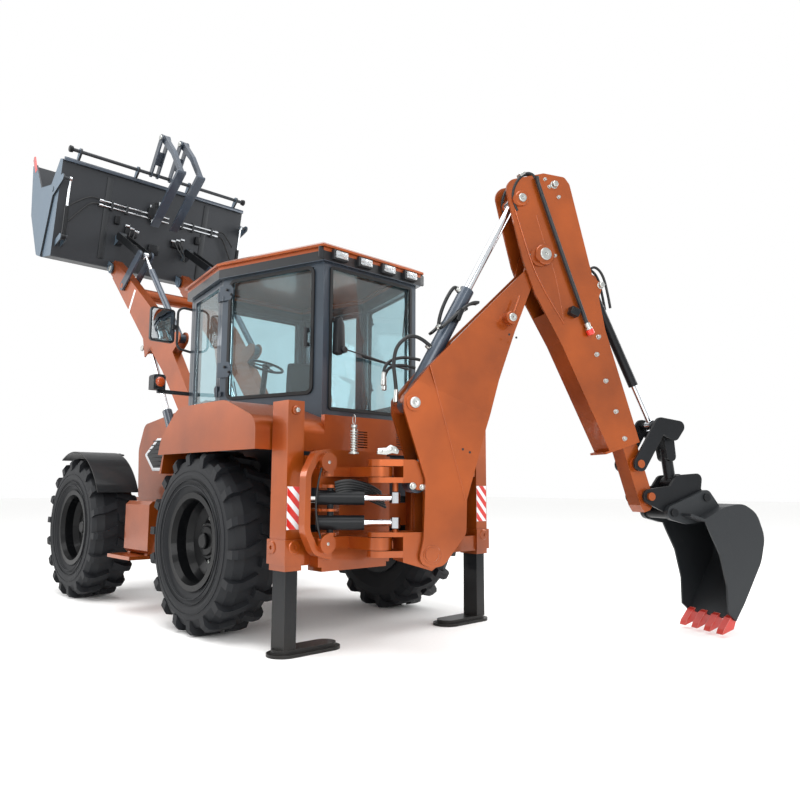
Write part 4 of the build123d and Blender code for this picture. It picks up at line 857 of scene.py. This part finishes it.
def striped_plate(name, body, corner, across, width, height, thick, lean):
    """A striped plate; corner is its lower end, across its width's way, lean 1 or -1 the bands' way."""
    white = [corner, corner + across * width / 1000, corner + across * width / 1000 + UP * height / 1000,
             corner + UP * height / 1000]
    add_mesh(name + "_white", body, white_enamel, [slab(white, thick)], 0.5)
    bands, band, step = [], 54, 98
    for number in range(-4, 8):
        low = number * step
        edge = []
        for share in (0.0, 1.0):
            rise = low + (width * share if lean > 0 else width * (1 - share))
            edge.append((share, rise))
        (s0, r0), (s1, r1) = edge
        quad = [(s0, r0), (s1, r1), (s1, r1 + band), (s0, r0 + band)]
        clipped = clip_height([(share * width, rise) for share, rise in quad], 0, height)
        if len(clipped) > 2:
            ahead = thick.normalized()
            skin = ahead * (thick.length + 0.6)
            bands.append(slab([corner + across * a / 1000 + UP * b / 1000 + skin / 1000
                               - ahead * 0.0008 for a, b in clipped], ahead * 0.9))
    add_mesh(name + "_red", body, tooth_enamel, bands)


leg_forward, tube_half = -985, 90
tube_back = leg_forward - tube_half
striped_plate("stripes_left_back", "chassis", at(tube_back - 1, 1010 - 4, 805), -leftwards, 122, 278,
              backwards * 2, -1)
striped_plate("stripes_right_back", "chassis", at(tube_back - 1, -880, 805), -leftwards, 122, 290,
              backwards * 2, -1)
bosses = []
for side in (1, -1):
    bosses.append(turned(at(-938, side * 1010, 687), leftwards * side, [(-4, 44), (16, 44), (20, 38),
                                                                       (20, 14), (10, 12)], 32))
    bosses.append(turned(at(tube_back, side * 950, 694), backwards, [(-4, 44), (16, 44), (20, 38),
                                                                    (20, 14), (10, 12)], 32))
    bosses.append(turned(at(tube_back, side * 950, 1585), backwards, [(-4, 30), (10, 30), (14, 26)], 32))
add_mesh("leg_bosses", "chassis", copper_enamel, bosses)
add_mesh("leg_top_bolts", "chassis", zinc_plate,
         [shape for side in (1, -1)
          for shape in bolt(at(tube_back - 10, side * 950, 1585), backwards, 30)], 1.0)
print("stabiliser bosses", len(bosses))

# %% [markdown]
# Glass sits in a black rubber seal that grips its edge. The side windows behind the doors are
# hung on broad grey hinge plates that lie over the glass, and each plate has two bolts.

# %% Window seals
def wall_point(start, end, distance, up, proud=0.0):
    """A point of an upright wall between two corners of the cab's plan, some way along it."""
    run = Vector((end[0] - start[0], end[1] - start[1], 0)).normalized()
    face = Vector((run.y, -run.x, 0))
    if face.dot(Vector((start[0] + end[0], start[1] + end[1], 0)) - Vector((300, 0, 0))) < 0:
        face = -face
    place = Vector((start[0], start[1], 0)) + run * distance + face * proud
    return at(place.x, place.y, up), run, face


def quarter_wall(side):
    """The two ends of the wall behind a door, on the left for side 1 and on the right for -1."""
    return (225, side * 785), (-750, side * 490)


seals = []
for side in (1, -1):
    start, end = quarter_wall(side)
    outline = [wall_point(start, end, distance, up, -4)[0]
               for distance, up in ((74, 1770), (938, 1770), (938, 2762), (74, 2762))]
    face = wall_point(start, end, 0, 0)[2]
    seals.append(flat_frame(outline, 26, face * 18, 62))
rear_window = [at(-746, side, up) for side, up in ((434, 1652), (-434, 1652), (-434, 2758), (434, 2758))]
seals.append(flat_frame(rear_window, 24, backwards * 16, 30))
front_window = [at(1041, side, up) for side, up in ((554, 1472), (-554, 1472), (-554, 2758), (554, 2758))]
seals.append(flat_frame(front_window, 24, -backwards * 16, 40))
add_mesh("window_seals", "chassis", seal_rubber, seals)
plate_bolts = []
for side in (1, -1):
    start, end = quarter_wall(side)
    for up in (2660, 2020):
        for distance in (62, 110):
            place, run, face = wall_point(start, end, distance, up, 20)
            plate_bolts += bolt(place + UP * (0.022 if distance == 62 else -0.022), face, 17)
add_mesh("hinge_bolts", "chassis", moulded_black, plate_bolts, 0.8)
catches = []
for side in (1, -1):
    start, end = quarter_wall(side)
    place, run, face = wall_point(start, end, 883, 2205, 4)
    for low, high in ((-72, -40), (40, 72)):
        catches.append(slab(rounded([place + run * a + UP * b for a, b in
                                     ((-0.016, low / 1000), (0.016, low / 1000),
                                      (0.016, high / 1000), (-0.016, high / 1000))], 6), face * 30))
    catches.append(slab(rounded([place + face * 0.022 + run * a + UP * b for a, b in
                                 ((-0.014, -0.075), (0.014, -0.075), (0.014, 0.075),
                                  (-0.014, 0.075))], 8), face * 12))
add_mesh("window_catches", "chassis", moulded_black, catches, 2.0)
print("seals", len(seals))

# %% [markdown]
# The wiper of the rear window is a motor under a black cover on the left post, a thin spring arm
# and a rubber blade. The blade is the darkest line across the glass.

# %% Wipers
motor = [at(-752, side, up) for side, up in ((352, 2070), (404, 2080), (398, 2330), (366, 2380),
                                             (330, 2300), (322, 2120))]
add_mesh("wiper_motor", "chassis", moulded_black, [slab(rounded(motor, 14), backwards * 62)], 6.0)
add_mesh("wiper_hub", "chassis", moulded_black,
         [turned(at(-806, 340, 2110), backwards, [(0, 26), (26, 26), (34, 18)], 28)])
add_pipe("wiper_arm", "chassis", moulded_black,
         [[at(-832, 340, 2110), at(-828, 160, 2096), at(-800, -20, 2080), at(-778, -330, 2052)]], 11)
blade = [at(-764, side, up) for side, up in ((120, 2102), (-395, 2056), (-395, 2040), (120, 2086))]
add_mesh("wiper_blade", "chassis", seal_rubber, [slab(blade, backwards * 14)], 2.0)
add_pipe("front_wiper", "chassis", moulded_black,
         [[at(1075, 0, 1430), at(1080, 30, 1600), at(1072, 90, 1820), at(1064, 160, 2080)]], 11)
add_pipe("window_stays", "chassis", moulded_black,
         [[at(-738, -404, 2620), at(-712, -414, 2450), at(-716, -408, 2240)],
          [at(-738, -380, 2560), at(-704, -390, 2430), at(-708, -380, 2330)]], 12)
print("wiper blade corners", len(blade))

# %% [markdown]
# A work lamp is a black housing, a bright bowl behind, and a ribbed clear lens in front. The eight
# lamps are one loop over the front and the back of the roof header.

# %% Lamp lenses and bowls
lenses, bowls = [], []
for way, face in ((1, 1080 + 38), (-1, -782 - 38)):
    ahead = -backwards * way
    for side in (-375, -125, 125, 375):
        outline = [at(face, side + a, 2837 + b) for a, b in ((-58, -27), (58, -27), (58, 27), (-58, 27))]
        bowls.append(slab([corner - ahead * 0.002 for corner in rounded(outline, 9)], ahead * 3))
        lenses.append(slab([corner + ahead * 0.001 for corner in rounded(outline, 9)], ahead * 6))
add_mesh("lamp_bowls", "chassis", mirror_glass, bowls, 0.8)
add_mesh("lamp_lenses", "chassis", lamp_lens, lenses, 1.5)
print("work lamps", len(lenses))
panels = []
for way, face in ((1, 1066), (-1, -768)):
    ahead = -backwards * way
    outline = [at(face, side, up) for side, up in ((-560, 2790), (560, 2790), (560, 2884), (-560, 2884))]
    panels.append(slab(rounded(outline, 14), ahead * 12))
add_mesh("lamp_panels", "chassis", moulded_black, panels, 2.0)

# %% [markdown]
# The steel wheel is bolted to its hub by a ring of nuts, and a cap closes the hub's middle. All
# four wheels are alike, so one function dresses them, and each dress turns with its own wheel.

# %% Wheel nuts, hub caps and sidewall ribs
def tyre_rib(centre, way, radius, proud, half):
    """A low round ring moulded on a tyre's side."""
    along, first, second = square_to(way)
    section = [(-half, -4), (half, -4), (half * 0.6, proud), (-half * 0.6, proud)]
    corners, faces, count = [], [], 96
    for index in range(count):
        angle = math.tau * index / count
        spoke = first * math.cos(angle) + second * math.sin(angle)
        corners += [centre + (spoke * (radius + off) + along * lift) / 1000 for off, lift in section]
    for index in range(count):
        here, after = 4 * index, 4 * ((index + 1) % count)
        for edge in range(4):
            beside = (edge + 1) % 4
            faces.append((here + edge, here + beside, after + beside, after + edge))
    return corners, faces


def dress_wheel(end, side_name):
    """Nuts, a hub cap and moulded sidewall ribs for one wheel."""
    body = "wheel_" + end + "_" + side_name
    way = leftwards if side_name == "left" else -leftwards
    hub = middle_of("tyre_" + end + "_" + side_name)
    nuts, count, circle, sunk = [], 10, 0.172, 0.010
    for index in range(count):
        angle = math.tau * index / count
        spoke = Vector((math.cos(angle), 0, math.sin(angle)))
        nuts += bolt(hub + spoke * circle - way * sunk, way, 30)
    add_mesh(body + "_nuts", body, zinc_plate, nuts, 1.0)
    add_mesh(body + "_cap", body, wheel_enamel,
             [turned(hub, way, [(46, 112), (58, 112), (66, 104), (70, 62), (92, 58), (98, 50), (98, 12)],
                     40)])
    sidewall = hub + way * 0.2085
    ribs = [tyre_rib(sidewall, way, radius, proud, half)
            for radius, proud, half in ((414, 3, 6), (452, 4, 3), (520, 3, 4))]
    add_mesh(body + "_ribs", body, tyre_rubber, ribs)


for end in ("front", "rear"):
    for side_name in ("left", "right"):
        dress_wheel(end, side_name)
print("wheels dressed", 4)

# %% [markdown]
# Behind the loader bucket, pairs of chromed pipes carry oil to the two cylinders that open its
# jaw. Short hoses finish the way, because the cylinders rock a little as they push.

# %% Pipes and hoses on the loader bucket's back
def behind(side, up, away):
    """A point behind the loader bucket's sloping back plate, some way away from it."""
    return at(3240 + (4750 - up) * 0.2176 - away, side, up)


runs = []
for up in (4405, 4352):
    for far, near in ((671, 30), (-20, -150), (-250, -792)):
        runs.append([behind(far, up, 26), behind(near, up, 26)])
add_pipe("bucket_pipes", "loader_bucket", hard_chrome, runs, 20)
saddles = []
for side in (560, 380, 80, -330, -480, -740):
    corners = [behind(side + a, up, -4) for a, up in ((-14, 4322), (14, 4322), (14, 4434), (-14, 4434))]
    saddles.append(slab(corners, backwards * 42))
add_mesh("pipe_saddles", "loader_bucket", bucket_steel, saddles, 3.0)
hoses = []
for side, out in ((671, 1040), (-792, -1040)):
    for index, up in enumerate((4405, 4352)):
        reach = out - side
        hoses.append([behind(side, up, 26), behind(side + reach * 0.28, up + 18, 44),
                      behind(side + reach * 0.62, up - 40 - 60 * index, 60),
                      behind(out, up - 160 - 130 * index, 74)])
for way in (1, -1):
    for index in range(2):
        hoses.append([behind(way * (250 + 60 * index), 4150, 40), behind(way * (290 + 50 * index), 4040, 96),
                      behind(way * (330 + 40 * index), 3960, 150), behind(way * 350, 3880, 190)])
hoses.append([behind(30, 4405, 26), behind(44, 4520, 60), behind(60, 4560, 64), behind(96, 4480, 50)])
hoses.append([behind(-20, 4352, 26), behind(-70, 4440, 70), behind(-60, 4530, 60), behind(-10, 4540, 40)])
add_pipe("bucket_hoses", "loader_bucket", hose_rubber, hoses, 17)
fittings = []
for side, up, run in ((671, 4405, 1), (671, 4352, 1), (-792, 4405, -1), (-792, 4352, -1)):
    fittings.append(turned(behind(side - 10 * run, up, 26), leftwards * run,
                           [(0, 13), (3, 17), (48, 17), (52, 13)], 20))
for side, up in ((96, 4480), (-10, 4540), (60, 4330), (30, 4405), (-20, 4352)):
    fittings.append(turned(behind(side, up - 40, 34), UP, [(0, 12), (3, 17), (70, 17), (74, 12)], 20))
for way in (1, -1):
    for index in range(3):
        fittings.append(turned(behind(way * (236 + 60 * index), 4150 + 20 * index, 40), leftwards,
                               [(-28, 14), (-25, 18), (25, 18), (28, 14)], 20))
add_mesh("bucket_fittings", "loader_bucket", hard_chrome, fittings)
valves = []
for side, up, width, height in ((70, 4410, 110, 130), (300, 4120, 150, 90), (-300, 4120, 150, 90),
                                (0, 3990, 130, 110), (480, 4230, 60, 90), (-560, 4230, 60, 90)):
    corners = [behind(side + a * width / 2, up + b * height / 2, -4)
               for a, b in ((-1, -1), (1, -1), (1, 1), (-1, 1))]
    valves.append(slab(corners, backwards * 58))
add_mesh("bucket_valves", "loader_bucket", black_enamel, valves, 5.0)
stiffeners = []
for side in (610, -640):
    corners = [behind(side + a, up, -3) for a, up in ((-34, 3760), (34, 3760), (34, 4700), (-34, 4700))]
    stiffeners.append(slab(corners, backwards * 14))
add_mesh("bucket_stiffeners", "loader_bucket", bucket_steel, stiffeners, 4.0)
top_rail = [at(3222, side, up) for side, up in ((-1150, 4726), (1150, 4726), (1150, 4768), (-1150, 4768))]
add_mesh("bucket_top_rail", "loader_bucket", cylinder_enamel, [slab(top_rail, backwards * 22)], 4.0)
print("pipe runs", len(runs), "hoses", len(hoses))

# %% [markdown]
# The jaw's two upper corners carry red marker bars, and the fork rod ends in turned knobs.

# %% Marker bars and fork rod ends
for side_name, way in (("left", 1), ("right", -1)):
    marker = [at(x, way * 1172, up) for x, up in ((4090, 4890), (4150, 4868), (4262, 5060),
                                                  (4240, 5104), (4196, 5096))]
    add_mesh("marker_bar_" + side_name, "bucket_clam", tooth_enamel,
             [slab(rounded(marker, 10), leftwards * way * 9)], 2.0)
rod_forward, knuckle_forward = 3150, 2890
knobs = [turned(at(rod_forward, way * 1086, 4850), leftwards * way,
                [(0, 34), (20, 38), (34, 38), (40, 30)], 32) for way in (1, -1)]
add_mesh("fork_rod_ends", "loader_bucket", black_enamel, knobs)
fork_pins = [turned(at(knuckle_forward, side, 5215), leftwards,
                    [(-66, 26), (-60, 30), (60, 30), (66, 26)], 28) for side in (130, -110)]
add_mesh("fork_knuckle_pins", "fork_carriers", zinc_plate, fork_pins)
print("fork pins and rod ends", len(fork_pins + knobs))

# %% [markdown]
# The loader arms turn on pins with silver ends, and the bonnet's flanks carry a white frame with
# six corners round a dark grille of slim bars.

# %% Loader pins and the bonnet's white frame
arm_pins = []
for way in (1, -1):
    arm_pins += pin_head(at(2330, way * 528, 2530), leftwards * way, 30, 12)
    arm_pins += pin_head(at(3390, way * 506, 3650), leftwards * way, 34, 12)
add_mesh("loader_arm_pins", "loader_arms", zinc_plate, arm_pins, 1.0)
lever_pins = []
for way in (1, -1):
    lever_pins += pin_head(at(2600, way * 493, 3630), leftwards * way, 28, 10)
add_mesh("lever_pins", "tilt_levers", zinc_plate, lever_pins, 1.0)
blank_label = [(2838, 3006), (2872, 3034), (2720, 3262), (2686, 3240)]
add_mesh("arm_blank_label", "loader_arms", white_enamel,
         [slab(rounded([at(x, way * 480.6, up) for x, up in blank_label], 6), leftwards * way * 1.2)
          for way in (1, -1)])
hexagon = [(2549, 1416), (2259, 1581), (2097, 1578), (2040, 1410), (2067, 1237), (2346, 1241)]
frames_white, grille_panels, slats = [], [], []
for way in (1, -1):
    flank = [at(x, way * 345, up) for x, up in hexagon]
    out = leftwards * way
    frames_white.append(flat_frame([p + out * 0.0005 for p in flank], 32, out * 5, 16))
    grille_panels.append(slab([p + out * 0.0004 for p in rounded(inset(flank, 30), 8)], out * 2))
    for index in range(7):
        up = 1290 + 42 * index
        left_edge = 2092 + abs(1410 - up) * 0.20
        right_edge = 2300 + (1 - abs(1416 - up) / 175) * 170
        bar_ends = [at(left_edge, way * 348, up), at(right_edge, way * 348, up + 6)]
        slats.append(slab([bar_ends[0], bar_ends[1], bar_ends[1] + UP * 0.012, bar_ends[0] + UP * 0.012],
                          out * 7))
add_mesh("bonnet_white_frame", "bonnet", white_enamel, frames_white, 1.5)
add_mesh("bonnet_grille_panel", "bonnet", moulded_black, grille_panels)
add_mesh("bonnet_grille_bars", "bonnet", black_enamel, slats, 2.0)
print("grille bars", len(slats))

# %% [markdown]
# A mirror is silvered glass in a moulded shell. The lamp beside it is amber, with a ribbed lens.

# %% Mirrors and amber lamps
glass, amber, bezels = [], [], []
for way in (1, -1):
    outline = [at(1091, way * side, up) for side, up in ((789, 2384), (991, 2384), (991, 2666), (789, 2666))]
    glass.append(slab(rounded(outline, 22), backwards * 3))
    for face, ahead in ((1005, backwards), (1105, -backwards)):
        place = at(face, way * 935, 1992)
        bezels.append(turned(place, ahead, [(-4, 52), (8, 52), (12, 46)], 36))
        amber.append(turned(place, ahead, [(0, 43), (16, 43), (26, 34), (31, 18)], 36))
add_mesh("mirror_faces", "chassis", mirror_glass, glass, 1.0)
add_mesh("amber_bezels", "chassis", moulded_black, bezels)
add_mesh("amber_lamps", "chassis", amber_lens, amber)
print("mirrors", len(glass), "amber lamps", len(amber))

# %% [markdown]
# The driver's seat turns to face either end. Its cushions are moulded foam under stitched vinyl:
# crowned in the middle, pulled in along the sides and creased along the sewn channels. Each is
# made from a finely divided block whose points are moved by those three rules.

# %% The driver's seat
def cushion(name, place, half, channel, normal):
    """A padded cushion; half lists its half sizes in millimetres and normal turns its crown."""
    kit, grid = bmesh.new(), {}
    steps, layers = 26, 7
    pinch, seam_width, seam_depth = 0.05, 0.035, 0.10
    along, second = Vector(normal).normalized(), leftwards
    first = second.cross(along)
    for i in range(steps + 1):
        for j in range(steps + 1):
            for k in range(layers + 1):
                if 0 < i < steps and 0 < j < steps and 0 < k < layers:
                    continue
                u, v, w = 2 * i / steps - 1, 2 * j / steps - 1, 2 * k / layers - 1
                pulled_u = u * (1 - pinch * v * v - pinch * w * w)
                pulled_v = v * (1 - pinch * u * u - pinch * w * w)
                crown = 0.68 + 0.32 * (1 - u ** 4) * (1 - v ** 4)
                crease_depth = 0.0
                for seam in (-channel, channel):
                    crease_depth += math.exp(-((v - seam) / seam_width) ** 2)
                crown -= seam_depth * crease_depth * max(0.0, w)
                offset = (first * (pulled_u * half[0]) + second * (pulled_v * half[1])
                          + along * (w * crown * half[2]))
                grid[i, j, k] = kit.verts.new(place + offset / 1000)
    for i in range(steps):
        for j in range(steps):
            for k in (0, layers):
                kit.faces.new([grid[i, j, k], grid[i + 1, j, k], grid[i + 1, j + 1, k], grid[i, j + 1, k]])
    for i in range(steps):
        for k in range(layers):
            for j in (0, steps):
                kit.faces.new([grid[i, j, k], grid[i + 1, j, k], grid[i + 1, j, k + 1], grid[i, j, k + 1]])
                kit.faces.new([grid[j, i, k], grid[j, i + 1, k], grid[j, i + 1, k + 1], grid[j, i, k + 1]])
    bmesh.ops.recalc_face_normals(kit, faces=kit.faces)
    for face in kit.faces:
        face.smooth = True
    mesh = bpy.data.meshes.new(name)
    kit.to_mesh(mesh)
    kit.free()
    mesh.materials.append(seat_vinyl)
    piece = settle(bpy.data.objects.new(name, mesh), "chassis")
    round_off = piece.modifiers.new("soften", "SUBSURF")
    round_off.levels = round_off.render_levels = 1
    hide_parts("driver_station")
    return piece


cushion("seat_cushion", at(300, 0, 1540), (216, 236, 56), 0.52, UP)
seat_back = cushion("seat_back", at(80, 0, 1862), (284, 226, 50), 0.52, -backwards)
print("points of one cushion", len(seat_back.data.vertices))

# %% [markdown]
# Under the seat stands a rubber bellows on a box, and ahead of it the steering column rises from
# its console. The steering wheel is a bent pipe with three spokes and a turned boss.

# %% Seat base, console and steering wheel
floor_up = 1054
bellows = [(0, 118)]
for fold in range(6):
    bellows += [(30 + fold * 52, 118), (46 + fold * 52, 98), (62 + fold * 52, 98), (78 + fold * 52, 118)]
add_mesh("seat_bellows", "chassis", seal_rubber, [turned(at(300, 0, floor_up + 60), UP, bellows, 40)])
base = [at(x, side, floor_up) for x, side in ((184, -116), (416, -116), (416, 116), (184, 116))]
add_mesh("seat_base", "chassis", black_enamel, [slab(rounded(base, 16), UP * 64)], 4.0)
tray = [at(x, side, 1452) for x, side in ((120, -200), (480, -200), (480, 200), (120, 200))]
add_mesh("seat_tray", "chassis", moulded_black, [slab(rounded(tray, 26), UP * 36)], 5.0)
rests = []
for way in (1, -1):
    rest = [at(150, way * 214, 1640), at(450, way * 214, 1640), at(450, way * 214, 1676),
            at(150, way * 214, 1676)]
    rests.append(slab(rounded(rest, 15), leftwards * -way * 46))
add_mesh("arm_rests", "chassis", moulded_black, rests, 8.0)
console_side = [(764, 1054), (896, 1054), (896, 1700), (862, 1896), (790, 1896), (764, 1700)]
add_mesh("console", "chassis", moulded_black,
         [slab(rounded([at(x, -88, up) for x, up in console_side], 16), leftwards * 176)], 8.0)
column_low, column_high = at(826, 0, 1880), at(768, 0, 2200)
add_pipe("steering_column", "chassis", moulded_black, [[column_low, column_high]], 54)
wheel_axis = Vector((-0.45, 0, 0.9)).normalized()
first, second = square_to(wheel_axis)[1:]
wheel_middle, rim_reach, spoke_reach = at(760, 0, 2210), 0.162, 0.158


def on_wheel(angle, reach):
    """A point of the steering wheel's plane, some way from its middle."""
    return wheel_middle + (first * math.cos(angle) + second * math.sin(angle)) * reach


ring = [on_wheel(math.tau * i / 32, rim_reach) for i in range(33)]
add_pipe("steering_wheel_rim", "chassis", moulded_black, [ring], 24)
spokes = [[wheel_middle, on_wheel(math.radians(turn), spoke_reach)] for turn in (90, 210, 330)]
add_pipe("steering_wheel_spokes", "chassis", black_enamel, spokes, 15)
add_mesh("steering_wheel_boss", "chassis", moulded_black,
         [turned(wheel_middle, wheel_axis, [(-16, 34), (10, 38), (18, 32), (20, 20)], 32)])
print("steering wheel spokes", len(spokes))

# %% [markdown]
# The floor is a broad pale sheet, matt enough that the machine stands in soft light. It is part of
# the studio and not of the machine.

# %% Floor and sky
floor_finish, floor_shader, floor_place = new_finish("studio_floor")
floor_noise = add_node(floor_finish, "TexNoise", {"Vector": floor_place, "Scale": per_metre(30)})
floor_tone = add_node(floor_finish, "ValToRGB", {"Fac": floor_noise.outputs["Fac"]})
floor_tone.color_ramp.elements[0].color = linear("F6F6F5")
floor_tone.color_ramp.elements[1].color = linear("FDFDFC")
connect(floor_finish, floor_tone.outputs["Color"], floor_shader, "Base Color")
floor_shader.inputs["Roughness"].default_value = 0.75
floor_mesh = bpy.data.meshes.new("floor")
reach = 60
floor_mesh.from_pydata([(-reach, -reach, 0), (reach, -reach, 0), (reach, reach, 0), (-reach, reach, 0)],
                       [], [(0, 1, 2, 3)])
floor_mesh.materials.append(floor_finish)
floor = bpy.data.objects.new("floor", floor_mesh)
bpy.context.scene.collection.objects.link(floor)

sky = bpy.data.worlds.new("studio")
bpy.context.scene.world = sky
sky.use_nodes = True
backdrop = sky.node_tree.nodes["Background"]
backdrop.inputs["Color"].default_value = linear("FFFFFF")
backdrop.inputs["Strength"].default_value = 1.0
bpy.context.scene.view_settings.view_transform = "Standard"
